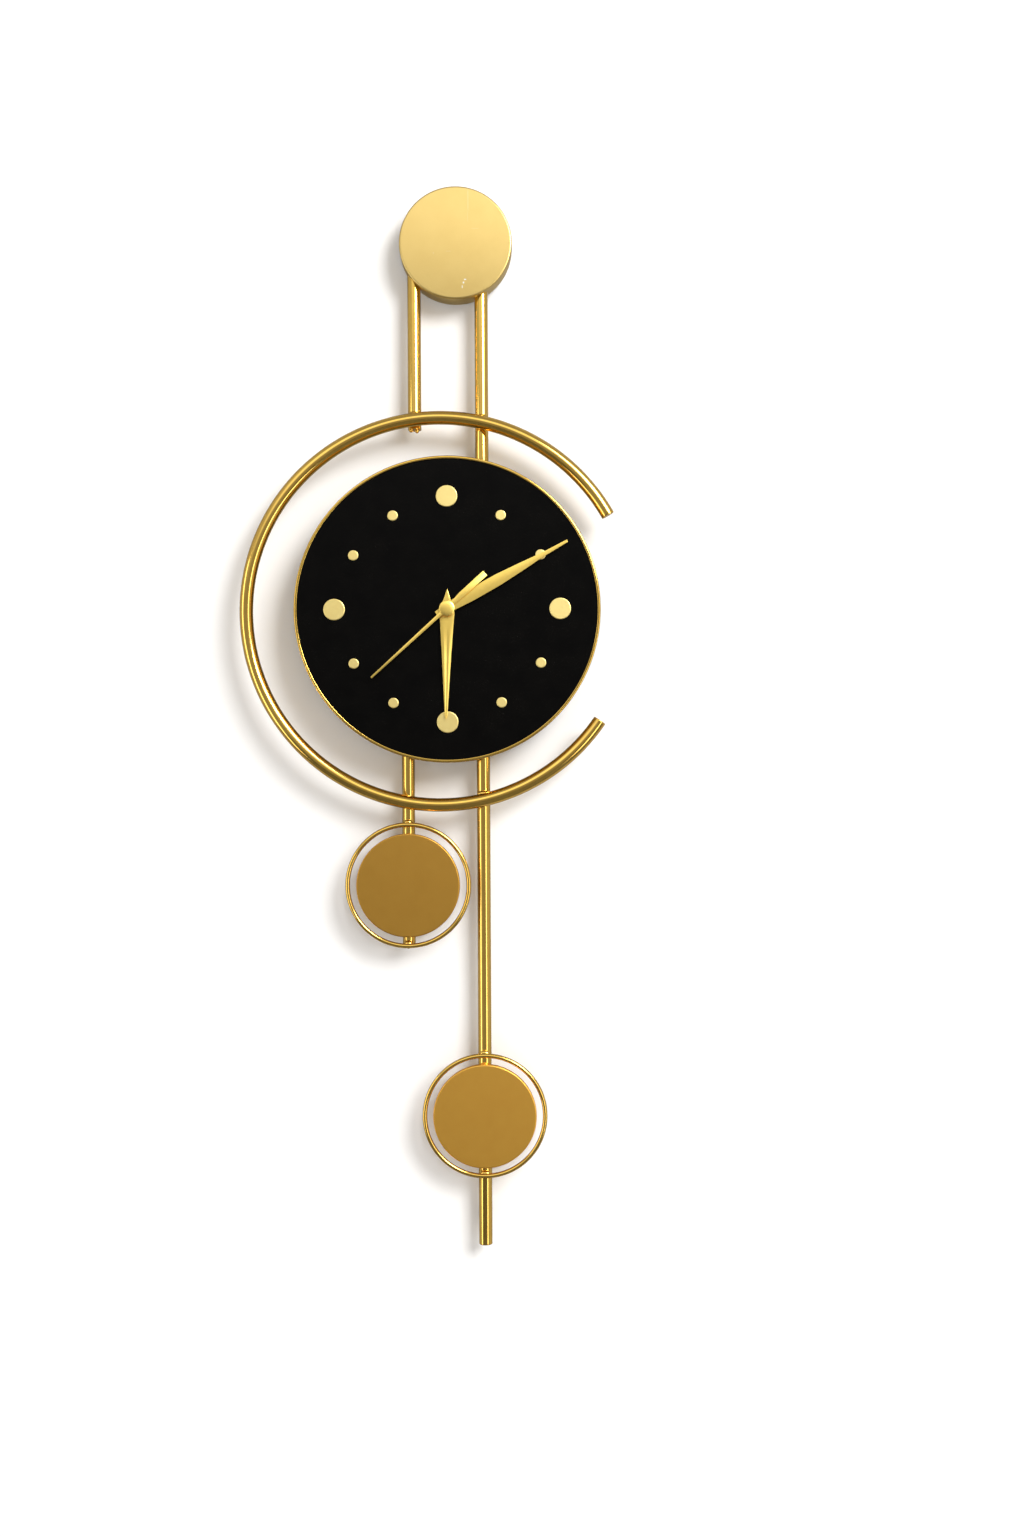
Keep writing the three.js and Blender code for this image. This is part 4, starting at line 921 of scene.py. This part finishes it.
# %% [markdown]
# ## The hands
#
# A hand is cut from thin sheet and pressed, so that light breaks along its middle. It starts as a
# small plane that points to twelve. The plane is split down the middle, its far end is extruded from
# station to station and scaled to the width there, and its lengthwise lines are pulled forwards. One
# line makes a ridge down the middle, and two lines make a pair of ridges with a groove between them.
# Then the hand gets its thickness and turns to its place.


# %% Shape a hand
HAND_SHEET = 0.5 * MM
hub = middle("fixing_bush")


def tip_angle(node):
    """The way a hand points, clockwise from twelve."""
    arms = [v.co - hub for v in nodes[node].data.vertices]
    reach = max(arm.xz.length for arm in arms)
    tip = sum((arm for arm in arms if arm.xz.length > reach - 0.3 * MM), Vector())
    return math.atan2(tip.x, tip.z)


def pressed_hand(name, node, stations, grooved=False):
    """stations holds (distance from the hub, half width, height of the ridge) in mm."""
    (z0, w0, _), (z1, w1, _) = stations[0], stations[1]
    fresh()
    bpy.ops.mesh.primitive_plane_add(size=1, rotation=(math.radians(90), 0, 0))
    hand = begin(name)
    for z, w, at in ((z0, w0, -0.5), (z1, w1, 0.5)):
        pick("VERT", lambda spot, normal: near(spot.z, at))
        resize((2 * w * MM, 1, 1), (0, 0, at))
        bpy.ops.transform.translate(value=(0, 0, z * MM - at))
    pick("EDGE", lambda spot, along: abs(spot.x) < 0.01 * MM)
    bpy.ops.mesh.subdivide(number_cuts=3 if grooved else 1)
    for (_, w_before, _), (z, w, _) in zip(stations[1:], stations[2:]):
        far = max(v.co.z for v in bmesh.from_edit_mesh(hand.data).verts)
        pick("EDGE", lambda spot, along: near(spot.z, far))
        extrude(0, 0, z * MM - far)
        resize((w / w_before, 1, 1), (0, 0, z * MM))
    for z, w, height in stations:
        ridge_x = w * MM / 2 if grooved else 0
        pick("VERT", lambda spot, normal: near(abs(spot.x), ridge_x) and near(spot.z, z * MM))
        bpy.ops.transform.translate(value=(0, -height * MM, 0))
    select_all()
    extrude(0, HAND_SHEET, 0)
    face_outwards()
    bpy.ops.object.mode_set(mode="OBJECT")
    bevel_sharp_edges(hand, 0.09 * MM, 2)
    hand.location = (hub.x, back(node) - HAND_SHEET, hub.z)
    hand.rotation_euler = (0, tip_angle(node), 0)
    apply_place()
    return hand


def bore(piece, place, radius, low, high):
    """Drills a round hole along Y."""
    fresh()
    rod(32, radius, place.x, place.z, low, high)
    cutter = begin("cutter")
    fresh()
    cut_away(piece, cutter)


def bore_through(piece, node, place, radius):
    """Drills through the whole thickness of a node."""
    bore(piece, place, radius, front(node) - MM, back(node) + MM)


HOUR_STATIONS = [(-16.6, 0.15, 0), (-13, 1.4, 0.1), (-8, 3.0, 0.2), (-4, 4.9, 0.2), (0, 6.0, 0.2)]
HOUR_STATIONS += [(5, 6.3, 0.25), (14, 5.6, 0.4), (42, 3.8, 0.4), (80, 1.75, 0.25)]
HOUR_STATIONS += [(90.5, 1.15, 0.1), (93.7, 0.2, 0)]
MINUTE_STATIONS = [(-10.2, 2.6, 0.1), (-5, 3.3, 0.1), (0, 4.0, 0.1), (10, 4.6, 0.2), (23, 5.2, 0.65)]
MINUTE_STATIONS += [(50, 5.0, 0.7), (74, 3.4, 0.5), (92, 1.9, 0.2), (117.4, 1.1, 0.1)]
SECOND_STATIONS = [(-44.2, 2.6, 0.0), (-16, 2.6, 0.0), (-8, 1.7, 0.05), (0, 2.4, 0.05), (8, 1.5, 0.2)]
SECOND_STATIONS += [(50, 1.15, 0.2), (87.2, 0.8, 0.04)]
for node, stations, grooved, hole in (
    ("hour_hand", HOUR_STATIONS, True, 3.1 * MM),
    ("minute_hand", MINUTE_STATIONS, False, 1.95 * MM),
):
    hand = pressed_hand(f"{node}_pressed", node, stations, grooved)
    bore_through(hand, node, hub, hole)
    complete(hand, node, smooth=18)

# %% Shape the second hand and its cap
second_hand = pressed_hand("second_hand_pressed", "second_hand", SECOND_STATIONS)
cap_front, cap_back = front("second_hand"), back("second_hand") - HAND_SHEET - 0.02 * MM
CAP_RADIUS = 6.6 * MM
dome = [
    (0, cap_front),
    (CAP_RADIUS * 0.45, cap_front + 0.08 * MM),
    (CAP_RADIUS * 0.8, cap_front + 0.3 * MM),
    (CAP_RADIUS, cap_front + 0.75 * MM),
    (CAP_RADIUS, cap_back),
    (0, cap_back),
]
hub_cap = spun_outline("second_hand_cap", hub, softened(dome, {3: 0.25 * MM}), steps=64)
fresh()
hub_cap.select_set(True)
second_hand.select_set(True)
bpy.context.view_layer.objects.active = second_hand
bpy.ops.object.join()
complete(second_hand, "second_hand", smooth=25)

# %% [markdown]
# ## Weld beads
#
# Where a ring lies on a tube the two are brazed, and a little metal stands in the corner above the
# ring. Each bead is a squashed ball whose points are moved about at random and then smoothed, so no
# two look the same. The beads of the frame and of the pendulum are two pieces, because the pendulum
# swings. Two small drops hang from the end of the short tube.


# %% Lay the beads
def bead(place, sides, seed):
    fresh_start = bpy.context.mode == "OBJECT"
    bpy.ops.mesh.primitive_uv_sphere_add(segments=24, ring_count=14, radius=1, location=place)
    if fresh_start:
        begin("beads")
    resize(sides, place)
    bpy.ops.transform.vertex_random(offset=0.25 * MM, uniform=0.0, normal=1.0, seed=seed)
    bpy.ops.mesh.vertices_smooth(factor=0.5, repeat=3)


def ring_height(x):
    """How far the large ring's middle line is above or below its middle at a given x."""
    return math.sqrt(ring_radius**2 - (x - ring_middle.x) ** 2)


long_x, short_x = middle("long_tube").x, middle("short_tube").x
over_long, over_short = ring_height(long_x), ring_height(short_x)
seat = front("long_tube")
ornament = middle("lower_ring")
ornament_ring = size("lower_ring").z / 2 - WIRE
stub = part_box("short_tube")[0].z
BEAD_ON_RING, ON_RING, ON_RING_DEEP = (5.6 * MM, 3.0 * MM, 3.4 * MM), 4.9 * MM, 1.6 * MM
BEAD_ON_WIRE, ON_WIRE, ON_WIRE_DEEP = (4.4 * MM, 2.3 * MM, 2.5 * MM), 1.9 * MM, 1.2 * MM
BEAD_ON_BOB, ON_BOB_DEEP = (4.2 * MM, 3.4 * MM, 2.6 * MM), 2.4 * MM
SMALL_DROP = (1.9 * MM, 1.8 * MM, 1.9 * MM)

fresh()
for seed, (x, y, z, sides) in enumerate(
    [
        (long_x, seat - ON_RING_DEEP, ring_middle.z + over_long + ON_RING, BEAD_ON_RING),
        (long_x, seat - ON_RING_DEEP, ring_middle.z - over_long + ON_RING, BEAD_ON_RING),
        (short_x, seat - ON_RING_DEEP, ring_middle.z + over_short + ON_RING, BEAD_ON_RING),
        (long_x, seat - ON_WIRE_DEEP, ornament.z + ornament_ring + ON_WIRE, BEAD_ON_WIRE),
        (long_x, seat - ON_WIRE_DEEP, ornament.z - ornament_ring + ON_WIRE, BEAD_ON_WIRE),
        (short_x - 3.0 * MM, seat + 2.0 * MM, stub - 0.6 * MM, SMALL_DROP),
        (short_x + 2.2 * MM, seat + 3.0 * MM, stub - 1.1 * MM, SMALL_DROP),
    ]
):
    bead(Vector((x, y, z)), sides, seed)
frame_beads = bpy.context.object
frame_beads.name = frame_beads.data.name = "weld_beads_frame"
complete(frame_beads, smooth=60, body="clock_body", slot="polished_gold")

FIRST_BOB_SEED = 20
fresh()
for seed, side in enumerate((1, -1), start=FIRST_BOB_SEED):
    place = Vector((bob_middle.x, tube_front - ON_BOB_DEEP, bob_middle.z + side * bob_ring + ON_WIRE))
    bead(place, BEAD_ON_BOB, seed)
pendulum_beads = bpy.context.object
pendulum_beads.name = pendulum_beads.data.name = "weld_beads_pendulum"
complete(pendulum_beads, smooth=60, body="pendulum", slot="polished_gold")

# %% [markdown]
# ## Behind the cap
#
# The back plate closes the cap. The hanger is a bent strip: a flat plane whose two edges are extruded
# forwards and then outwards, thickened with Solidify. Its keyhole takes the nail. A rubber foot low
# down keeps the long tube off the wall.


# %% Make the back plate and the foot
low, high, radius = round_box("cap_back_plate")
outline = [(0, low.y), (radius, low.y), (radius, high.y), (0, high.y)]
turned("cap_back_plate_stamped", "cap_back_plate", outline, {1: 0.3 * MM, 2: 0.4 * MM}, steps=128)

low, high, radius = round_box("wall_bumper")
outline = [(0, high.y), (radius * 0.4, high.y), (radius, high.y), (radius, low.y), (0, low.y)]
turned("wall_bumper_moulded", "wall_bumper", outline, {2: 1.1 * MM, 3: 0.3 * MM}, steps=48)

# %% Bend the hanger
hanger_low, hanger_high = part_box("wall_hanger")
STRIP, FOOT = 1.5 * MM, 7 * MM
web_low, web_high = hanger_low.z + FOOT + STRIP / 2, hanger_high.z - FOOT - STRIP / 2
web_y, foot_y = hanger_high.y - STRIP / 2, hanger_low.y + STRIP / 2
hanger_x = middle("wall_hanger").x
fresh()
bpy.ops.mesh.primitive_plane_add(
    size=1, location=(hanger_x, web_y, (web_low + web_high) / 2), rotation=(math.radians(90), 0, 0)
)
bpy.context.object.scale = (size("wall_hanger").x, web_high - web_low, 1)
hanger = begin("wall_hanger_bent")
for edge_z, out in ((web_high, 1), (web_low, -1)):
    pick("EDGE", lambda spot, along: near(spot.z, edge_z))
    extrude(0, foot_y - web_y, 0)
    extrude(0, 0, out * (FOOT + STRIP / 2))
face_outwards()
bpy.ops.object.mode_set(mode="OBJECT")
apply_modifier(hanger, "SOLIDIFY", thickness=STRIP, offset=0, use_even_offset=True)
bevel_sharp_edges(hanger, 0.4 * MM, 3)

KEYHOLE, KEYHOLE_SLOT = 4.8 * MM, 2.3 * MM
KEYHOLE_HEIGHT, SLOT_RISE = 6 * MM, 9 * MM
slot_top = KEYHOLE_HEIGHT + SLOT_RISE - KEYHOLE_SLOT
web_front, web_back = -3 * MM, 2 * MM  # the cut reaches past both faces of the web
bore(hanger, Vector((hanger_x, 0, KEYHOLE_HEIGHT)), KEYHOLE, web_front, web_back)
bore(hanger, Vector((hanger_x, 0, slot_top)), KEYHOLE_SLOT, web_front, web_back)


def box_cutter(low, high):
    cutter = cube("cutter", low, high)
    fresh()
    return cutter


slot_low = (hanger_x - KEYHOLE_SLOT, web_front, KEYHOLE_HEIGHT)
slot_high = (hanger_x + KEYHOLE_SLOT, web_back, slot_top)
cut_away(hanger, box_cutter(slot_low, slot_high))
complete(hanger, "wall_hanger", smooth=40)

# %% [markdown]
# ## The bracket and its screws
#
# The bracket is a strip of steel behind the dial. It starts as a cube. The four edges that run front
# to back are bevelled to round the corners, then a fine bevel goes round both faces. Two screws hold
# it to the posts of the dial, and a cross recess is cut into each head.


# %% Cut the bracket
def rounded_block(name, low, high, corner, edge, corner_steps=6):
    """A cube with its front-to-back edges rounded, and a fine bevel round its two faces."""
    piece = cube(name, low, high)
    depth = high[1] - low[1]
    pick("EDGE", lambda spot, along: abs(along.y) > 0.9 * depth)
    bevel(corner, corner_steps)
    pick("FACE", lambda spot, normal: abs(normal.y) > 0.99)
    bevel(edge, 2)
    return piece


bracket = rounded_block("dial_bracket_cut", *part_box("dial_bracket"), 4 * MM, 0.25 * MM)
for node in ("bracket_screw_left", "bracket_screw_right"):
    bore_through(bracket, "dial_bracket", middle(node), POST_HOLE)
complete(bracket, "dial_bracket", smooth=40)


# %% Turn a screw and copy it
def bracket_screw(name, node):
    low, high, head = round_box(node)
    shank, under = 1.8 * MM, high.y - 2 * MM
    tip, pitch = low.y, 0.8 * MM
    outline = [(0, high.y), (head * 0.6, high.y - 0.1 * MM), (head, high.y - 0.9 * MM)]
    outline += [(head, under), (shank, under)]
    for turn in range(1, int((under - tip) / pitch)):
        y = under - turn * pitch
        outline += [(shank, y + 0.2 * pitch), (shank - 0.25 * MM, y - 0.3 * pitch)]
    outline += [(shank * 0.6, tip), (0, tip)]
    place = middle(node)
    screw = spun_outline(name, place, softened(outline, {1: 2 * MM, 2: 0.3 * MM}), steps=32)
    long_arm, short_arm, recess = 1.9 * MM, 0.38 * MM, 1.1 * MM
    for across, tall in ((long_arm, short_arm), (short_arm, long_arm)):
        near_corner = (place.x - across, high.y - recess, place.z - tall)
        far_corner = (place.x + across, high.y + MM, place.z + tall)
        cut_away(screw, box_cutter(near_corner, far_corner))
    return screw


for side in ("left", "right"):
    node = f"bracket_screw_{side}"
    complete(bracket_screw(f"bracket_screw_{side}_turned", node), node, smooth=30)

# %% [markdown]
# ## The movement and the pendulum's drive
#
# Both cases start as rounded blocks. The open side is inset by the wall's thickness and pushed in,
# which leaves a thin shell. Openings are cut with Boolean modifiers.

# %% Shape the front case and its rear cover
WALL = 1.2 * MM
CASE_CORNER = 3 * MM
case_low, case_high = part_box("movement_front_case")


def open_side(piece, direction, depth):
    """Hollows a block out from its front (-1) or its back (1)."""
    pick("FACE", lambda spot, normal: normal.y * direction > 0.99)
    inset(WALL - 0.2 * MM)
    extrude(0, -direction * depth, 0)


front_case = rounded_block("movement_front_case_moulded", case_low, case_high, CASE_CORNER, 0.2 * MM)
case_size = case_high - case_low
open_side(front_case, 1, case_size.y - WALL)
BAY_DIVIDER, BAY_DROP = 0.9 * MM, 15.65 * MM
divider = Vector((hub.x, (case_low.y + case_high.y) / 2, hub.z - BAY_DROP))
bpy.ops.mesh.primitive_cube_add(size=1, location=divider)
resize((case_size.x - WALL, case_size.y - WALL / 2, BAY_DIVIDER), divider)
bore(front_case, hub, BUSH_HOLE, case_low.y - MM, case_low.y + 2 * MM)
complete(front_case, "movement_front_case", smooth=35)

cover_low, cover_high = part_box("movement_rear_cover")
cover_low = Vector((cover_low.x, cover_high.y - WALL, cover_low.z))
rear_cover = rounded_block("movement_rear_cover_moulded", cover_low, cover_high, CASE_CORNER, 0.25 * MM)


def cut_window(piece, place, half_x, half_z, near_y, far_y):
    """Cuts a window with rounded corners."""
    low = (place.x - half_x, near_y, place.z - half_z)
    high = (place.x + half_x, far_y, place.z + half_z)
    cutter = rounded_block("cutter", low, high, 1 * MM, 0.05 * MM, 4)
    fresh()
    cut_away(piece, cutter)


bay = middle("battery")
bay_half_x = case_size.x / 2 - WALL - 0.5 * MM
bay_half_z = size("battery").z / 2 + 0.375 * MM
bay_place = Vector((hub.x, 0, bay.z))
cut_window(rear_cover, bay_place, bay_half_x, bay_half_z, cover_low.y - MM, cover_high.y + MM)
knob_place = middle("set_knob")
KNOB_HOLE = 1.25 * MM
bore(rear_cover, knob_place, KNOB_HOLE, cover_low.y - MM, cover_high.y + MM)
complete(rear_cover, "movement_rear_cover", smooth=35)

# %% Turn the battery, the knob and the small round parts
battery_low, battery_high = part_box("battery")
cell_r = (battery_high.z - battery_low.z) / 2
NUB, NUB_HEIGHT, CRIMP = 2.7 * MM, 1.4 * MM, 1.2 * MM
half = (battery_high.x - battery_low.x - NUB_HEIGHT) / 2
dent, shoulder = -half + 0.25 * MM, half - 0.3 * MM
outline = [(0, -half), (cell_r * 0.55, -half), (cell_r * 0.6, dent), (cell_r - CRIMP, dent)]
outline += [(cell_r - CRIMP, -half), (cell_r, -half), (cell_r, half), (cell_r - CRIMP, half)]
outline += [(cell_r - CRIMP, shoulder), (NUB, shoulder), (NUB, half + NUB_HEIGHT), (0, half + NUB_HEIGHT)]
rounding = {5: 0.5 * MM, 6: 0.5 * MM, 10: 0.4 * MM}
cell = spun_outline("battery_cell", Vector((0, 0, 0)), softened(outline, rounding), steps=64)
bpy.ops.object.mode_set(mode="OBJECT")
cell.rotation_euler = (0, 0, math.radians(-90))
cell.location = (battery_low.x + half, bay.y, bay.z)
apply_place()
complete(cell, "battery", smooth=30)

knob_low, knob_high, knob_r = round_box("set_knob")
KNOB_DEPTH, KNOB_SHAFT = 3.6 * MM, 0.9 * MM
knob_front = knob_high.y - KNOB_DEPTH
fresh()
rod(72, knob_r, knob_place.x, knob_place.z, knob_front, knob_high.y)
knob = begin("set_knob_ribbed")


def knob_turn(spot):
    """Which of the three points of a rib this one is. The points are five degrees apart."""
    return round(math.degrees(math.atan2(spot.z - knob_place.z, spot.x - knob_place.x)) / 5) % 3


pick("VERT", lambda spot, normal: knob_turn(spot) == 1)
resize((0.93, 1, 0.93), knob_place)
pick("FACE", lambda spot, normal: abs(normal.y) > 0.99)
bevel(0.4 * MM, 2)
pick("FACE", lambda spot, normal: normal.y > 0.999)
inset(0.8 * MM)
inset(0.15 * MM, -0.35 * MM)
rod(24, KNOB_SHAFT, knob_place.x, knob_place.z, knob_low.y, knob_front + 0.2 * MM)
bevel(0.15 * MM, 2)
complete(knob, "set_knob", smooth=30)

low, high, bush_r = round_box("fixing_bush")
BUSH_BORE, THREAD, THREAD_DEPTH = 3.25 * MM, 0.75 * MM, 0.2 * MM
outline = [(BUSH_BORE, high.y), (BUSH_BORE, low.y), (bush_r, low.y)]
for turn in range(int((high.y - low.y) / THREAD) - 1):
    y = low.y + 0.3 * MM + turn * THREAD
    outline += [(bush_r - THREAD_DEPTH, y + 0.1 * THREAD), (bush_r, y + 0.5 * THREAD)]
outline += [(bush_r, high.y)]
turned("fixing_bush_threaded", "fixing_bush", outline, {}, steps=48, closed=True)


def washer(node, bore_radius):
    low, high, radius = round_box(node)
    return [(bore_radius, high.y), (bore_radius, low.y), (radius, low.y), (radius, high.y)]


rounding = {1: 0.15 * MM, 2: 0.35 * MM, 3: 0.15 * MM}
NUT_PLAY = 0.3 * MM
nut_outline = washer("fixing_nut", bush_r + NUT_PLAY)
turned("fixing_nut_turned", "fixing_nut", nut_outline, rounding, steps=64, closed=True)

# %% Shape the drive case and the parts of the pivot
drive_low, drive_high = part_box("pendulum_drive_case")
drive = rounded_block("pendulum_drive_case_moulded", drive_low, drive_high, CASE_CORNER, 0.2 * MM)
open_side(drive, -1, drive_high.y - drive_low.y - WALL)
pivot = middle("pivot_pin")
PIVOT_BORE, PEG_DROP, PEG = 1.85 * MM, 10 * MM, 1.2 * MM
wall_near, wall_far = drive_high.y - 2 * WALL, drive_high.y + MM
bore(drive, pivot, PIVOT_BORE, wall_near, wall_far)
peg = pivot - Vector((0, 0, PEG_DROP))
cut_window(drive, peg, 2.5 * MM, 1.8 * MM, wall_near, wall_far)
complete(drive, "pendulum_drive_case", smooth=35)

EYE, EYE_SHEET = 6 * MM, 3 * MM
TONGUE_HALF, TONGUE_START = 3.38 * MM, 4.6 * MM
eye_low, eye_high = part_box("hanger_eye")
eye_front = eye_high.y - EYE_SHEET
eye_y = eye_high.y - EYE_SHEET / 2
fresh()
rod(64, EYE, pivot.x, pivot.z, eye_front, eye_high.y)
eye = begin("hanger_eye_stamped")
pick("FACE", lambda spot, normal: abs(normal.y) > 0.99)
bevel(0.35 * MM, 2)
bore(eye, pivot, PIVOT_BORE, eye_front - MM, eye_high.y + MM)
bpy.ops.object.mode_set(mode="EDIT")
tongue_top = pivot.z - TONGUE_START
tongue = Vector((pivot.x, eye_y, (tongue_top + eye_low.z) / 2))
tongue_size = (2 * TONGUE_HALF, EYE_SHEET - 0.1 * MM, tongue_top - eye_low.z)
bpy.ops.mesh.primitive_cube_add(size=1, location=tongue)
resize(tongue_size, tongue)
bevel(0.25 * MM, 2)
rod(32, PEG, peg.x, peg.z, eye_low.y, eye_y)
bevel(0.2 * MM, 2)
complete(eye, "hanger_eye", smooth=40)

low, high, pin_r = round_box("pivot_pin")
CLIP_GROOVE, CLIP_GROOVE_WIDE, CLIP_GROOVE_DEEP = 1.4 * MM, 0.9 * MM, 0.5 * MM
groove, groove_r = high.y - CLIP_GROOVE, pin_r - CLIP_GROOVE_DEEP
outline = [(0, high.y), (pin_r, high.y), (pin_r, groove), (groove_r, groove)]
outline += [(groove_r, groove - CLIP_GROOVE_WIDE), (pin_r, groove - CLIP_GROOVE_WIDE)]
outline += [(pin_r, low.y), (0, low.y)]
turned("pivot_pin_turned", "pivot_pin", outline, {1: 0.3 * MM}, steps=40)

low, high, clip_r = round_box("pivot_clip")
CLIP_BORE, CLIP_MOUTH = 1.15 * MM, 0.9 * MM
outline = softened(washer("pivot_clip", CLIP_BORE), {k: 0.12 * MM for k in range(4)})
clip = spun_outline("pivot_clip_pressed", pivot, outline, steps=48, closed=True)
mouth_low = (pivot.x - CLIP_MOUTH, low.y - MM, pivot.z)
mouth_high = (pivot.x + CLIP_MOUTH, high.y + MM, pivot.z + clip_r + MM)
cut_away(clip, box_cutter(mouth_low, mouth_high))
complete(clip, "pivot_clip", smooth=30)

# %% Write the sizes and finish
print("frame in mm:", [round(v / MM, 1) for v in cad_high - cad_low])
